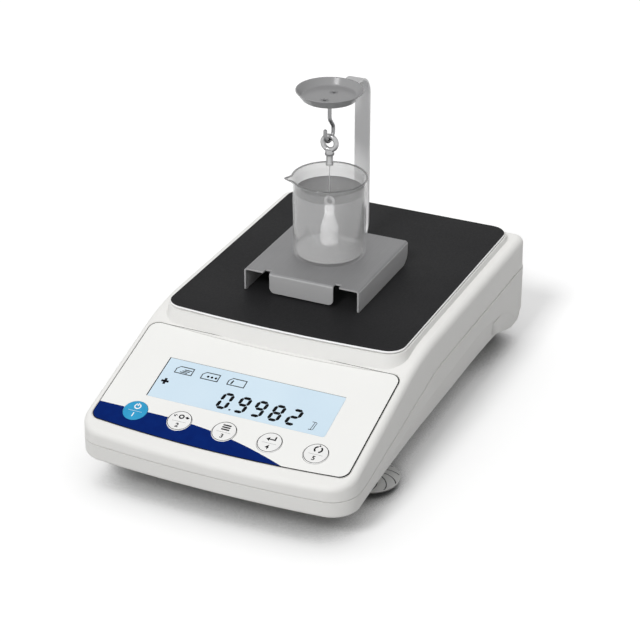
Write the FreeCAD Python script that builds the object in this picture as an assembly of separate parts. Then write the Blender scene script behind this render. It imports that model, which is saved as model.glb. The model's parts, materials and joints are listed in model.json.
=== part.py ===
"""Benchtop density meter: a precision balance with a liquid density kit on its plate.

Every shape is built about the middle of the plate's top face, +X to the right, +Y to the
back, +Z up, in millimetres. save() then moves it to the floor frame, whose origin is on the
floor under the middle of the case.
"""
import FreeCAD, Part
import math
import os

from FreeCAD import Vector as V

os.makedirs("parts", exist_ok=True)

# Case, driving sizes
CASE_HALF_WIDTH = 102.0
CASE_FRONT = -223.5
CASE_BACK = 117.0
CASE_DRAFT = 1.0
CASE_FRONT_RADIUS = 20.0
CASE_BACK_RADIUS = 10.0
BOW_RADIUS = 1000.0
PLATE_TOP = 93.0
CASE_BOTTOM = -67.5
POD_BOTTOM = -78.0
WALL = 2.5
CAVITY_HALF = 98.9
LIP_GAP = 0.2
LIP_THICKNESS = 1.5
LIP_RISE = 2.5
PARTING_GAP = 0.5

# Shoulder, parting line and platform
SHOULDER_Z = -6.0
SHOULDER_SOFT = 5.0
SLOPE_DEG = 17.45
PARTING_BACK_Z = -30.0
PARTING_FRONT_Z = -55.0
PLATFORM_TOP = -2.5
PLATFORM_HALF = 91.0
PLATFORM_FRONT = -113.5
PLATFORM_BACK = 109.5
PLATFORM_DRAFT = 0.26
PLATFORM_RADIUS = 14.0
CREASE_Z = -45.0

# Rear pods: height, inner and outer side, front and back of each level, outside and inside
POD_OUTSIDE = [(-50.0, 56.0, 101.97, 44.0, 116.97), (-62.0, 57.0, 101.85, 50.0, 116.85),
               (-68.0, 58.0, 101.4, 68.0, 116.4), (-72.0, 59.0, 101.0, 78.0, 116.0),
               (-75.5, 60.0, 100.2, 88.0, 115.4), (-77.2, 61.0, 98.9, 91.5, 114.1),
               (POD_BOTTOM, 62.5, 97.0, 93.0, 112.6)]
POD_INSIDE = [(-60.0, 61.0, 97.0, 56.0, 112.5), (-66.0, 61.5, 97.5, 70.0, 113.0),
              (-70.0, 62.5, 97.5, 81.0, 113.0), (-75.0, 64.5, 95.5, 96.0, 111.0)]
POD_CORNER = 6.0

# Control panel, in its own plane about the middle of the display
PANEL_Y = -162.06
PANEL_Z = -26.9
OVERLAY_HALF = 95.9
OVERLAY_LOW = -52.8
OVERLAY_HIGH = 44.4
OVERLAY_RADIUS = 7.0
OVERLAY_DEPTH = 0.8
OVERLAY_GAP = 0.5
DISPLAY_WIDTH = 134.0
DISPLAY_HEIGHT = 37.9
KEY_PITCH = 33.75
KEY_ROW = -34.3
KEY_RADIUS = 8.7
KEY_GAP = 0.3
KEY_PROUD = 0.2
KEY_CHAMFER = 0.15
KEY_FLANGE = 1.3
KEY_FLOAT = 0.3
KEY_TRAVEL = 0.5
STEM_RADIUS = 2.5
STEM_END = -7.0
SWITCH_HALF = 3.0
SWITCH_HEIGHT = 3.4
KEY_NAMES = ["key_power", "key_zero", "key_mode", "key_enter", "key_print"]
BOARD_DROP = 12.0
BOARD_THICKNESS = 1.6
BOARD_HALF = 83.5
BOARD_LOW = -48.0
BOARD_HIGH = 36.0
BOARD_POSTS = [(u, v) for u in (-78, 78) for v in (-44, 30)]

# Black plate
PLATE_HALF = 90.0
PLATE_FRONT = -112.5
PLATE_BACK = 107.3
PLATE_THICKNESS = 1.5
PLATE_RADIUS = 13.0
PLATE_HOLE = 15.0

# Density kit
KIT_X = -3.3
HANG_Y = -17.7
SPINDLE_RADIUS = 5.0
FIT_GAP = 0.05
BRIDGE_Y = -21.7
BRIDGE_SIZE = 89.3
BRIDGE_TOP = 16.9
BRIDGE_SHEET = 1.2
TAB_WIDTH = 49.6
NOTCH_WIDTH = 4.8
NOTCH_DEPTH = 4.4
ARM_WIDTH = 11.7
ARM_SHEET = 1.5
ARM_BACK = 41.0
ARM_TOP = 136.0
ARM_END = -32.0
ARM_FOOT_END = -12.0
ARM_BEND = 16.5
ARM_FOOT_BEND = 15.5
FOOT_BOTTOM = 3.0
DISH_RIM_RADIUS = 23.9
DISH_RIM_Z = 142.9
DISH_FLOOR_RADIUS = 19.6
DISH_FLOOR_Z = 138.0
DISH_WALL = 0.9
DISH_SCREW_Y = [-26.2, -10.4]
DISH_SCREW_HEAD = 3.0
DISH_SCREW_SINK = 0.2
HOOK_WIRE = 1.35
HOOK_LOW_Z = 104.4
RING_TUBE = 1.8
RING_MAJOR = 5.1
NECK_RADIUS = 3.0
COLLAR_LOW = 93.7
COLLAR_HIGH = 94.7
COLLAR_RADIUS = 3.3
FERRULE_LOW = 85.7
FERRULE_RADIUS = 2.4
WIRE_RADIUS = 0.35
SINKER_TOP = 61.7
SINKER_BOTTOM = 23.0
SINKER_RADIUS = 6.5
SINKER_RING_MAJOR = 3.15
SINKER_RING_TUBE = 1.05
BAND_LOW = 48.1
BAND_HIGH = 51.0
BAND_RADIUS = 3.4
BAND_SEAT = 2.6
BEAKER_RADIUS = 26.3
BEAKER_RIM_RADIUS = 27.6
BEAKER_WALL = 1.4
BEAKER_HEIGHT = 60.0
SPOUT_ANGLE = 207.0

# Feet
FLOOR_Z = -93.0
FOOT_X = 79.3
FOOT_Y = -131.7
WHEEL_RADIUS = 21.3
WHEEL_LOW = -90.5
WHEEL_EDGE_LOW = -88.2
WHEEL_EDGE_HIGH = -87.0
WHEEL_CROWN = -85.0
WHEEL_HUB = 6.5
WHEEL_HUB_TOP = -79.0
GROOVES = 11
GROOVE_TURN = -36.8
GROOVE_BEND = 12.0
GROOVE_BEND_PLACE = 11.8
GROOVE_WIDTH = 0.8
GROOVE_DEPTH = 0.5
STUD_RADIUS = 4.0
REAR_FOOT_X = 72.0
REAR_FOOT_Y = 102.5
REAR_FOOT_RADIUS = 8.2

# Fastener places: x, y, height of the screw's seat
CASE_SCREWS = [(52.0, 96.0, -42.0), (90.0, -190.0, -61.5)]
SCREW_RADIUS = 1.75
SCREW_HEAD = 3.2
SCREW_HEAD_HEIGHT = 2.4
SCREW_LENGTH = 17.0

SLOPE = math.radians(SLOPE_DEG)


def save(name, *solids):
    """Write one node, moved from the plate's middle to the floor frame."""
    shape = solids[0] if len(solids) == 1 else Part.makeCompound(list(solids))
    shape = shape.copy()
    shape.translate(V(0, -(CASE_FRONT + CASE_BACK) / 2, PLATE_TOP))
    shape.exportStep("parts/" + name + ".step")
    print(name, len(shape.Solids), round(shape.Volume / 1000, 2), shape.isValid())


def cylinder(radius, low, high, x=0.0, y=0.0):
    return Part.makeCylinder(radius, high - low, V(x, y, low))


def box(x0, x1, y0, y1, z0, z1):
    return Part.makeBox(x1 - x0, y1 - y0, z1 - z0, V(x0, y0, z0))


def spin(points, x=0.0, y=0.0):
    """Turn a closed half outline of (radius, height, corner radius) about an upright axis."""
    face = Part.Face(rounded(points, "xz"))
    solid = face.revolve(V(0, 0, 0), V(0, 0, 1), 360)
    solid.translate(V(x, y, 0))
    return solid


def rounded(points, plane):
    """Closed wire through points (a, b, radius), each corner rounded by its own radius."""
    place = {
        "xy": lambda a, b: V(a, b, 0),
        "xz": lambda a, b: V(a, 0, b),
        "yz": lambda a, b: V(0, a, b),
    }[plane]
    corners = []
    for i, (a, b, radius) in enumerate(points):
        here = V(a, b, 0)
        if radius <= 0:
            corners.append((here, here, here))
            continue
        before = V(points[i - 1][0], points[i - 1][1], 0)
        nxt = points[(i + 1) % len(points)]
        after = V(nxt[0], nxt[1], 0)
        back = (before - here).normalize()
        ahead = (after - here).normalize()
        half_angle = back.getAngle(ahead) / 2
        reach = radius / math.tan(half_angle)
        inward = (back + ahead).normalize()
        centre = here + inward * (radius / math.sin(half_angle))
        corners.append((here + back * reach, centre - inward * radius, here + ahead * reach))
    edges = []
    for i, (start, middle, end) in enumerate(corners):
        if (end - start).Length > 1e-6:
            edges.append(Part.Arc(place(start.x, start.y), place(middle.x, middle.y),
                                  place(end.x, end.y)).toShape())
        following = corners[(i + 1) % len(corners)][0]
        if (following - end).Length > 1e-6:
            edges.append(Part.LineSegment(place(end.x, end.y),
                                          place(following.x, following.y)).toShape())
    return Part.Wire(edges)


def bowed(half, front, back, r_front, r_back, z, back_bowed=False):
    """Outline whose front edge bows outward; its back edge is straight or bows the same way."""
    bow_y = front + BOW_RADIUS
    cx = half - r_front
    cy = bow_y - math.sqrt((BOW_RADIUS - r_front) ** 2 - cx ** 2)
    out = V(cx, cy - bow_y, 0).normalize()
    touch = V(0, bow_y, 0) + out * BOW_RADIUS
    middle = V(cx, cy, 0) + (out + V(1, 0, 0)).normalize() * r_front
    side_low = V(half, cy, 0)
    if back_bowed:
        top_y = back + BOW_RADIUS
        bx = half - r_back
        by = top_y - math.sqrt((BOW_RADIUS + r_back) ** 2 - bx ** 2)
        away = V(-bx, top_y - by, 0).normalize()
        back_touch = V(bx, by, 0) + away * r_back
        back_middle = V(bx, by, 0) + (away + V(1, 0, 0)).normalize() * r_back
        side_high = V(half, by, 0)
    else:
        back_touch = V(half - r_back, back, 0)
        diagonal = r_back * (1 - math.sqrt(0.5))
        back_middle = V(half - diagonal, back - diagonal, 0)
        side_high = V(half, back - r_back, 0)

    def mirror(p):
        return V(-p.x, p.y, 0)

    edges = [
        Part.Arc(mirror(touch), V(0, front, 0), touch).toShape(),
        Part.Arc(touch, middle, side_low).toShape(),
        Part.LineSegment(side_low, side_high).toShape(),
        Part.Arc(side_high, back_middle, back_touch).toShape(),
    ]
    if back_bowed:
        edges.append(Part.Arc(back_touch, V(0, back, 0), mirror(back_touch)).toShape())
    else:
        edges.append(Part.LineSegment(back_touch, mirror(back_touch)).toShape())
    edges += [
        Part.Arc(mirror(back_touch), mirror(back_middle), mirror(side_high)).toShape(),
        Part.LineSegment(mirror(side_high), mirror(side_low)).toShape(),
        Part.Arc(mirror(side_low), mirror(middle), mirror(touch)).toShape(),
    ]
    wire = Part.Wire(edges)
    wire.translate(V(0, 0, z))
    return wire


def case_outline(inset, z):
    """The case's plan outline, drawn in by inset."""
    return bowed(CASE_HALF_WIDTH - inset, CASE_FRONT + inset, CASE_BACK - inset,
                 CASE_FRONT_RADIUS - inset, CASE_BACK_RADIUS - inset, z)


def prism(wire, height):
    return Part.Face(wire).extrude(V(0, 0, height))


def across(points, half=130.0):
    """Side outline of (y, z, corner radius) carried right across the case."""
    face = Part.Face(rounded(points, "yz"))
    face.translate(V(-half, 0, 0))
    return face.extrude(V(2 * half, 0, 0))


def slope_z(y, below=0.0):
    """Height of the panel's plane at y, or of a plane that far below it."""
    return PANEL_Z + (y - PANEL_Y) * math.tan(SLOPE) - below / math.cos(SLOPE)


def on_panel(shape):
    """Carry a shape drawn flat about the display's middle on to the sloped panel."""
    shape = shape.copy()
    shape.rotate(V(0, 0, 0), V(1, 0, 0), SLOPE_DEG)
    shape.translate(V(0, PANEL_Y, PANEL_Z))
    return shape


def shoulder_line(below):
    """Region under the shoulder and the slope, lowered by below."""
    flat = SHOULDER_Z - below
    meet = PANEL_Y + (flat - slope_z(PANEL_Y, below)) / math.tan(SLOPE)
    return across([(130, flat, 0), (meet, flat, 170), (-250, slope_z(-250, below), 0),
                   (-250, -100, 0), (130, -100, 0)])


def over_parting(raised=0.0):
    """Region above the parting line, which falls with the panel towards the front."""
    back = PARTING_BACK_Z + raised
    front = PARTING_FRONT_Z + raised
    return across([(130, back, 0), (-66, back, 90), (-192, front, 60), (-250, front, 0),
                   (-250, 30, 0), (130, 30, 0)])


def case_block():
    """Drafted block with the case's plan, between the floor of the case and the platform."""
    return Part.makeLoft([case_outline(0, -60), case_outline(CASE_DRAFT, 2)], True, True)


def platform(inset, low, top):
    """Raised block under the plate, wider at its foot than at its top."""
    grow = (top - low) * PLATFORM_DRAFT
    half = PLATFORM_HALF - inset
    front = PLATFORM_FRONT + inset
    back = PLATFORM_BACK - inset
    radius = PLATFORM_RADIUS - inset
    foot = bowed(half + grow, front - grow * 1.4, back + grow, radius + grow, radius + grow, low)
    head = bowed(half, front, back, radius, radius, top)
    return Part.makeLoft([foot, head], True, True)


def soften(solid, radius, wanted):
    """Round the edges that wanted picks, or fewer of them if the rounding fails."""
    edges = [e for e in solid.Edges if wanted(e)]
    result = solid.makeFillet(radius, edges)
    return result if result.isValid() else solid


def upper_outside():
    body = case_block().common(shoulder_line(0.0))

    def top_edge(edge):
        centre = edge.CenterOfMass
        return centre.z > slope_z(min(centre.y, -95.0)) - 9 and abs(edge.tangentAt(
            (edge.FirstParameter + edge.LastParameter) / 2).z) < 0.6

    body = soften(body, SHOULDER_SOFT, top_edge)
    return body.fuse(platform(0.0, -16.0, PLATFORM_TOP)).removeSplitter()


def boss_places():
    return [(side * x, y, seat) for x, y, seat in CASE_SCREWS for side in (-1, 1)]


def upper_case():
    outside = upper_outside()
    hollow = prism(bowed(CAVITY_HALF, CASE_FRONT + 3.1, CASE_BACK - 3.1, CASE_FRONT_RADIUS - 3,
                         CASE_BACK_RADIUS - 3, -80), 90).common(shoulder_line(WALL))
    hollow = hollow.cut(on_panel(box(-120, 120, -90, 60, -WALL - OVERLAY_DEPTH, 20)))
    hollow = hollow.fuse(platform(WALL + 1.5, -18.0, PLATFORM_TOP - WALL))
    shell = outside.cut(hollow)
    posts = [cylinder(5.0, -60, 0, x, y) for x, y, seat in boss_places()]
    for u, v in BOARD_POSTS:
        posts.append(on_panel(cylinder(3.0, -BOARD_DROP, -1, u, v)))
    shell = shell.fuse(Part.makeCompound(posts).common(outside))
    shell = shell.common(over_parting())
    recess = prism(bowed(OVERLAY_HALF + OVERLAY_GAP, OVERLAY_LOW - OVERLAY_GAP,
                         OVERLAY_HIGH + OVERLAY_GAP, OVERLAY_RADIUS, OVERLAY_RADIUS,
                         -OVERLAY_DEPTH, True), 12)
    cuts = [on_panel(recess)]
    cuts.append(on_panel(box(-64, 64, -16.5, 16.5, -9, 2)))
    for i in range(5):
        cuts.append(on_panel(cylinder(KEY_RADIUS + KEY_GAP, -9, 2, (i - 2) * KEY_PITCH, KEY_ROW)))
    for x, y, seat in boss_places():
        cuts.append(cylinder(SCREW_RADIUS, -80, seat + 18, x, y))
    cuts.append(cylinder(10.5, -20, 5, KIT_X, 0))
    return shell.cut(Part.makeCompound(cuts)).removeSplitter()


def side_undercut():
    """Wedge that leaves the inward chamfer under the lower case's right side."""
    stations = [(95, -66, 101.8), (72, -52, 99.0), (45, CREASE_Z, 97.6), (-40, CREASE_Z, 97.4),
                (-92, CREASE_Z - 2, 97.4), (-135, -53, 98.2), (-178, -60, 99.8), (-206, -66, 101.8)]
    wires = []
    for y, crease, edge in stations:
        corners = [V(102.2, y, crease), V(edge, y, CASE_BOTTOM - 0.2), V(edge, y, -90),
                   V(112, y, -90), V(112, y, crease)]
        wires.append(Part.makePolygon(corners + corners[:1]))
    return Part.makeLoft(wires, True, False)


def rear_pod(levels, back_corner):
    """Block through level outlines, for the foot of the lower case at the right rear corner."""
    wires = []
    for z, inner, outer, front, back in levels:
        wire = rounded([(inner, front, POD_CORNER), (outer, front, POD_CORNER),
                        (outer, back, back_corner), (inner, back, POD_CORNER)], "xy")
        wire.translate(V(0, 0, z))
        wires.append(wire)
    return Part.makeLoft(wires, True, True)


def mirrored(solid):
    return solid.mirror(V(0, 0, 0), V(1, 0, 0))


def lower_case():
    body = prism(case_outline(0, CASE_BOTTOM), 60)
    body = soften(body, 2.0, lambda e: abs(e.BoundBox.ZMax - CASE_BOTTOM) < 0.01)
    wedge = side_undercut()
    body = body.cut(wedge).cut(mirrored(wedge))
    pod = rear_pod(POD_OUTSIDE, CASE_BACK_RADIUS - 0.1)
    body = body.fuse([pod, mirrored(pod)])
    floor = CASE_BOTTOM + 3.0
    inset = 3.3
    low = bowed(94.0, CASE_FRONT + 5, CASE_BACK - 4.5, CASE_FRONT_RADIUS - 6, CASE_BACK_RADIUS - 4, floor)
    mid = bowed(CAVITY_HALF - LIP_GAP, CASE_FRONT + inset, CASE_BACK - inset,
                CASE_FRONT_RADIUS - inset, CASE_BACK_RADIUS - inset, CREASE_Z)
    pocket = rear_pod(POD_INSIDE, POD_CORNER)
    hollow = Part.makeLoft([low, mid], True, True).fuse([prism(mid, 60), pocket, mirrored(pocket)])
    keep = box(-42, 22, 108.5, 118, -60, -38)
    shell = body.cut(hollow.cut(keep))
    top = over_parting(-PARTING_GAP)
    shell = shell.cut(top)
    lip = prism(case_outline(inset, -80), 80).cut(prism(case_outline(inset + LIP_THICKNESS, -80), 80))
    lip = lip.cut(over_parting(LIP_RISE)).common(over_parting(-4.0))
    posts = []
    for x, y, seat in boss_places():
        posts.append(cylinder(5.5, floor - 0.5, 0, x, y))
    for side in (-1, 1):
        posts.append(cylinder(9.0, floor - 0.5, -48, side * FOOT_X, FOOT_Y))
        for y in (-60, 60):
            posts.append(cylinder(7.0, floor - 0.5, -61, KIT_X + side * 50, y))
        for y in (-185, -140):
            posts.append(cylinder(3.0, floor - 0.5, -60, side * 52, y))
    posts = Part.makeCompound(posts).cut(top)
    shell = shell.fuse([lip, posts])
    cuts = []
    for x, y, seat in boss_places():
        cuts.append(cylinder(SCREW_RADIUS, -90, 0, x, y))
        cuts.append(cylinder(3.8, -90, seat, x, y))
    for side in (-1, 1):
        cuts.append(cylinder(6.0, -90, -50, side * FOOT_X, FOOT_Y))
    cuts.append(box(-40, 20, 111, 119, -58, -40))
    cuts.append(box(-8.6, 8.6, 105, 112, -53.3, -44.7))
    cuts.append(cylinder(5.0, 0, 10).rotated(V(0, 0, 0), V(1, 0, 0), -90).translated(V(-30, 104, -49)))
    return shell.cut(Part.makeCompound(cuts)).removeSplitter()


def overlay():
    film = prism(bowed(OVERLAY_HALF, OVERLAY_LOW, OVERLAY_HIGH, OVERLAY_RADIUS, OVERLAY_RADIUS,
                       -OVERLAY_DEPTH, True), OVERLAY_DEPTH)
    film = film.cut(display_block(0.1, -2, 2))
    for i in range(5):
        film = film.cut(cylinder(KEY_RADIUS + KEY_GAP, -2, 2, (i - 2) * KEY_PITCH, KEY_ROW))
    return on_panel(film)


def display_block(grow, low, high):
    width = DISPLAY_WIDTH / 2 + grow
    height = DISPLAY_HEIGHT / 2 + grow
    r = 2.0 + grow
    outline = rounded([(-width, -height, r), (width, -height, r), (width, height, r),
                       (-width, height, r)], "xy")
    outline.translate(V(0, 0, low))
    return prism(outline, high - low)


def key(index):
    """Round cap with a retaining rim behind the wall and a stem to its switch."""
    wall_back = -OVERLAY_DEPTH - WALL
    flange = wall_back - KEY_FLOAT
    foot = flange - 1.1
    cap = spin([(0, foot, 0), (KEY_RADIUS + KEY_FLANGE, foot, 0),
                (KEY_RADIUS + KEY_FLANGE, flange, 0), (KEY_RADIUS, flange, 0),
                (KEY_RADIUS, KEY_PROUD - KEY_CHAMFER, 0), (KEY_RADIUS - KEY_CHAMFER, KEY_PROUD, 0),
                (0, KEY_PROUD, 0)])
    stem = cylinder(STEM_RADIUS, STEM_END, foot + 0.1)
    solid = cap.fuse(stem).removeSplitter()
    solid.translate(V((index - 2) * KEY_PITCH, KEY_ROW, 0))
    return on_panel(solid)


def key_switch(index):
    top = SWITCH_HEIGHT - BOARD_DROP
    body = box(-SWITCH_HALF, SWITCH_HALF, -SWITCH_HALF, SWITCH_HALF, -BOARD_DROP, top)
    plunger = cylinder(1.75, top, STEM_END - KEY_TRAVEL - 0.1)
    solid = body.fuse(plunger)
    solid.translate(V((index - 2) * KEY_PITCH, KEY_ROW, 0))
    return on_panel(solid)


def display_module():
    """Glass sandwich in a frame, on pins down to the board."""
    back = -OVERLAY_DEPTH - WALL
    frame = box(-68, 68, -21, 21, -7.5, back)
    pins = [box(u - 0.4, u + 0.4, 19.0, 19.8, -BOARD_DROP, -7.5) for u in range(-60, 61, 12)]
    return on_panel(frame.fuse(pins))


def display_board():
    plate = box(-BOARD_HALF, BOARD_HALF, BOARD_LOW, BOARD_HIGH, -BOARD_DROP - BOARD_THICKNESS,
                -BOARD_DROP)
    for u, v in BOARD_POSTS:
        plate = plate.cut(cylinder(1.3, -20, 0, u, v))
    return on_panel(plate)


def main_board():
    """Board on four posts, with its larger components standing on it."""
    plate = box(-58, 58, -190, -135, -60, -60 + BOARD_THICKNESS)
    top = -60 + BOARD_THICKNESS
    chips = [box(-20, -6, -170, -156, top, top + 1.4), box(10, 18, -165, -153, top, top + 1.4),
             box(30, 48, -150, -140, top, top + 5.0), cylinder(4.0, top, top + 7, -40, -147),
             cylinder(4.0, top, top + 7, -30, -147), box(-48, -24, -182, -177, top, top + 4.5)]
    return plate.fuse(chips)


def base_plate():
    plate = prism(bowed(PLATE_HALF, PLATE_FRONT, PLATE_BACK, PLATE_RADIUS, PLATE_RADIUS,
                        -PLATE_THICKNESS), PLATE_THICKNESS)
    plate = soften(plate, 0.5, lambda e: abs(e.BoundBox.ZMin) < 0.01 and e.BoundBox.ZMax < 0.01)
    return plate.cut(cylinder(PLATE_HOLE, -5, 5, KIT_X, 0))


def bridge():
    """One sheet: top, two side flanges with rounded rear feet, front tab between notches."""
    half = BRIDGE_SIZE / 2
    outer = rounded([(-half, 0, 0), (-half, BRIDGE_TOP, 2.2), (half, BRIDGE_TOP, 2.2),
                     (half, 0, 0)], "xz")
    inner = rounded([(-half + BRIDGE_SHEET, -1, 0),
                     (-half + BRIDGE_SHEET, BRIDGE_TOP - BRIDGE_SHEET, 1.0),
                     (half - BRIDGE_SHEET, BRIDGE_TOP - BRIDGE_SHEET, 1.0),
                     (half - BRIDGE_SHEET, -1, 0)], "xz")
    channel = Part.Face(outer).extrude(V(0, BRIDGE_SIZE, 0)).cut(
        Part.Face(inner).extrude(V(0, BRIDGE_SIZE, 0)))
    side = Part.Face(rounded([(0, 0, 0.6), (BRIDGE_SIZE, 0, 9.0), (BRIDGE_SIZE, BRIDGE_TOP + 1, 0),
                              (0, BRIDGE_TOP + 1, 0)], "yz")).extrude(V(200, 0, 0))
    side.translate(V(-100, 0, 0))
    channel = channel.common(side)
    tab_half = TAB_WIDTH / 2
    for s in (-1, 1):
        x = s * (tab_half + NOTCH_WIDTH / 2)
        channel = channel.cut(box(x - NOTCH_WIDTH / 2, x + NOTCH_WIDTH / 2, -1, NOTCH_DEPTH,
                                  BRIDGE_TOP - 3, BRIDGE_TOP + 1))
    channel = channel.cut(box(-tab_half, tab_half, -1, 2.2, 5, BRIDGE_TOP + 1))
    bend = Part.Face(rounded([(2.2, BRIDGE_TOP, 0), (0, BRIDGE_TOP, 2.1), (0, 1.4, 0),
                              (BRIDGE_SHEET, 1.4, 0), (BRIDGE_SHEET, BRIDGE_TOP - BRIDGE_SHEET, 0.9),
                              (2.2, BRIDGE_TOP - BRIDGE_SHEET, 0)], "yz"))
    bend.translate(V(-tab_half, 0, 0))
    tab = bend.extrude(V(TAB_WIDTH, 0, 0))
    corners = rounded([(-tab_half, 1.4, 4.0), (tab_half, 1.4, 4.0), (tab_half, 30, 0),
                       (-tab_half, 30, 0)], "xz")
    tab = tab.common(Part.Face(corners).extrude(V(0, 4, 0)))
    solid = channel.fuse(tab).removeSplitter()
    solid.translate(V(KIT_X, BRIDGE_Y - BRIDGE_SIZE / 2, 0))
    return solid


def beaker():
    low = BRIDGE_TOP
    high = low + BEAKER_HEIGHT
    r = BEAKER_RADIUS
    w = BEAKER_WALL
    outside = spin([(0, low, 0), (r, low, 4.0), (r, high - 4, 5), (BEAKER_RIM_RADIUS, high, 0),
                    (0, high, 0)])
    inside = spin([(0, low + 1.6, 0), (r - w, low + 1.6, 3.0), (r - w, high - 4, 5),
                   (BEAKER_RIM_RADIUS - w, high, 0), (BEAKER_RIM_RADIUS - w, high + 3, 0),
                   (0, high + 3, 0)])
    outer_spout = spout(0.0, high)
    inner_spout = spout(w, high)
    solid = outside.fuse(outer_spout).cut(inside).cut(inner_spout)
    solid = solid.removeSplitter()
    solid.rotate(V(0, 0, 0), V(0, 0, 1), SPOUT_ANGLE)
    solid.translate(V(KIT_X, HANG_Y, 0))
    return solid


def spout(inset, high):
    """Tapered lip along +X, from a small circle on the wall to a larger one at the rim."""
    wires = []
    for z, reach, radius in ((high - 11, 24.0, 2.6), (high - 5, 25.4, 4.4), (high, 26.2, 7.0)):
        lift = 0.6 if inset and z == high else 0.0
        circle = Part.Circle(V(reach, 0, z + lift), V(0, 0, 1), radius - inset)
        wires.append(Part.Wire([circle.toShape()]))
    return Part.makeLoft(wires, True, False)


def gantry():
    """One flat strip bent into a C: foot under the bridge, post behind, arm over the beaker."""
    inner = ARM_BACK - ARM_SHEET
    under = ARM_TOP - ARM_SHEET
    tread = FOOT_BOTTOM + ARM_SHEET
    outline = rounded([(ARM_FOOT_END, FOOT_BOTTOM, 0), (ARM_BACK, FOOT_BOTTOM, ARM_FOOT_BEND),
                       (ARM_BACK, ARM_TOP, ARM_BEND), (ARM_END, ARM_TOP, 0), (ARM_END, under, 0),
                       (inner, under, ARM_BEND - ARM_SHEET), (inner, tread, ARM_FOOT_BEND - ARM_SHEET),
                       (ARM_FOOT_END, tread, 0)], "yz")
    face = Part.Face(outline)
    face.translate(V(-ARM_WIDTH / 2, 0, 0))
    strip = face.extrude(V(ARM_WIDTH, 0, 0))
    strip = soften(strip, 3.0, lambda e: e.Length < 1.6 and abs(e.tangentAt(0).z) > 0.9)
    strip.translate(V(KIT_X, 0, 0))
    for y in DISH_SCREW_Y:
        strip = strip.cut(cylinder(1.5, ARM_TOP - 5, ARM_TOP + 5, KIT_X, y))
    return strip.cut(bush_screw())


def bush_screw():
    """Countersunk screw, flush with the top of the gantry's foot."""
    top = FOOT_BOTTOM + ARM_SHEET
    return spin([(0, top - 4.5, 0), (1.5, top - 4.5, 0), (1.5, top - 2.5, 0), (4.0, top, 0),
                 (0, top, 0)], KIT_X, 0)


def gantry_bush():
    body = spin([(0, -0.5, 0), (SPINDLE_RADIUS + FIT_GAP, -0.5, 0),
                 (SPINDLE_RADIUS + FIT_GAP, -7.0, 0), (8.0, -7.0, 0), (8.0, FOOT_BOTTOM, 0),
                 (0, FOOT_BOTTOM, 0)], KIT_X, 0)
    return body.cut(bush_screw())


def dish_screw(y):
    """Countersunk screw with a socket in its head, just under the dish's floor."""
    head = DISH_FLOOR_Z - DISH_SCREW_SINK
    low = ARM_TOP - ARM_SHEET - 1.5
    return spin([(0, low, 0), (1.5, low, 0), (1.5, head - 1.6, 0), (DISH_SCREW_HEAD, head, 0),
                 (1.3, head, 0), (1.3, head - 1.2, 0), (0, head - 1.2, 0)], KIT_X, y)


def dish():
    """Turned dish: thick floor for its countersunk screws, thin flaring wall."""
    solid = spin([(0, ARM_TOP, 0), (DISH_FLOOR_RADIUS - 0.6, ARM_TOP, 2.5),
                  (DISH_RIM_RADIUS, DISH_RIM_Z - 0.5, 0), (DISH_RIM_RADIUS, DISH_RIM_Z, 0),
                  (DISH_RIM_RADIUS - DISH_WALL, DISH_RIM_Z, 0), (DISH_FLOOR_RADIUS, DISH_FLOOR_Z, 2.0),
                  (0, DISH_FLOOR_Z, 0)], KIT_X, HANG_Y)
    head = DISH_FLOOR_Z - DISH_SCREW_SINK
    for y in DISH_SCREW_Y:
        solid = solid.cut(spin([(0, ARM_TOP - 1, 0), (1.5, ARM_TOP - 1, 0), (1.5, head - 1.6, 0),
                                (DISH_SCREW_HEAD, head, 0), (DISH_SCREW_HEAD, head + 1, 0),
                                (0, head + 1, 0)], KIT_X, y))
    return solid


def rod_along(points, radius, x):
    """Round wire along a path of (y, z, bend radius) in an upright plane."""
    edges = []
    last = V(x, points[0][0], points[0][1])
    for i in range(1, len(points) - 1):
        here = V(x, points[i][0], points[i][1])
        back = (V(x, points[i - 1][0], points[i - 1][1]) - here).normalize()
        ahead = (V(x, points[i + 1][0], points[i + 1][1]) - here).normalize()
        half_angle = back.getAngle(ahead) / 2
        reach = points[i][2] / math.tan(half_angle)
        centre = here + (back + ahead).normalize() * (points[i][2] / math.sin(half_angle))
        start = here + back * reach
        middle = centre - (back + ahead).normalize() * points[i][2]
        end = here + ahead * reach
        edges.append(Part.LineSegment(last, start).toShape())
        edges.append(Part.Arc(start, middle, end).toShape())
        last = end
    edges.append(Part.LineSegment(last, V(x, points[-1][0], points[-1][1])).toShape())
    first = V(x, points[0][0], points[0][1])
    along = V(x, points[1][0], points[1][1]) - first
    ring = Part.Wire([Part.Circle(first, along, radius).toShape()])
    return Part.Wire(edges).makePipeShell([ring], True, False)


def hook():
    """J hook: shank under the arm, stepped back, then round under the axis to an upright tip."""
    y = HANG_Y
    top = ARM_TOP - ARM_SHEET
    route = [(y, top, 0), (y, 120.6, 4.5), (y + 6.2, 113.2, 4.2), (y + 6.2, HOOK_LOW_Z, 5.9),
             (y - 7.4, HOOK_LOW_Z, 6.6), (y - 7.4, 114.2, 0)]
    wire = rod_along(route, HOOK_WIRE, KIT_X)
    tip = Part.makeSphere(HOOK_WIRE, V(KIT_X, y - 7.4, 114.2))
    collar = cylinder(2.6, top - 2.2, top, KIT_X, y)
    return wire.fuse([tip, collar]).removeSplitter()


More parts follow.
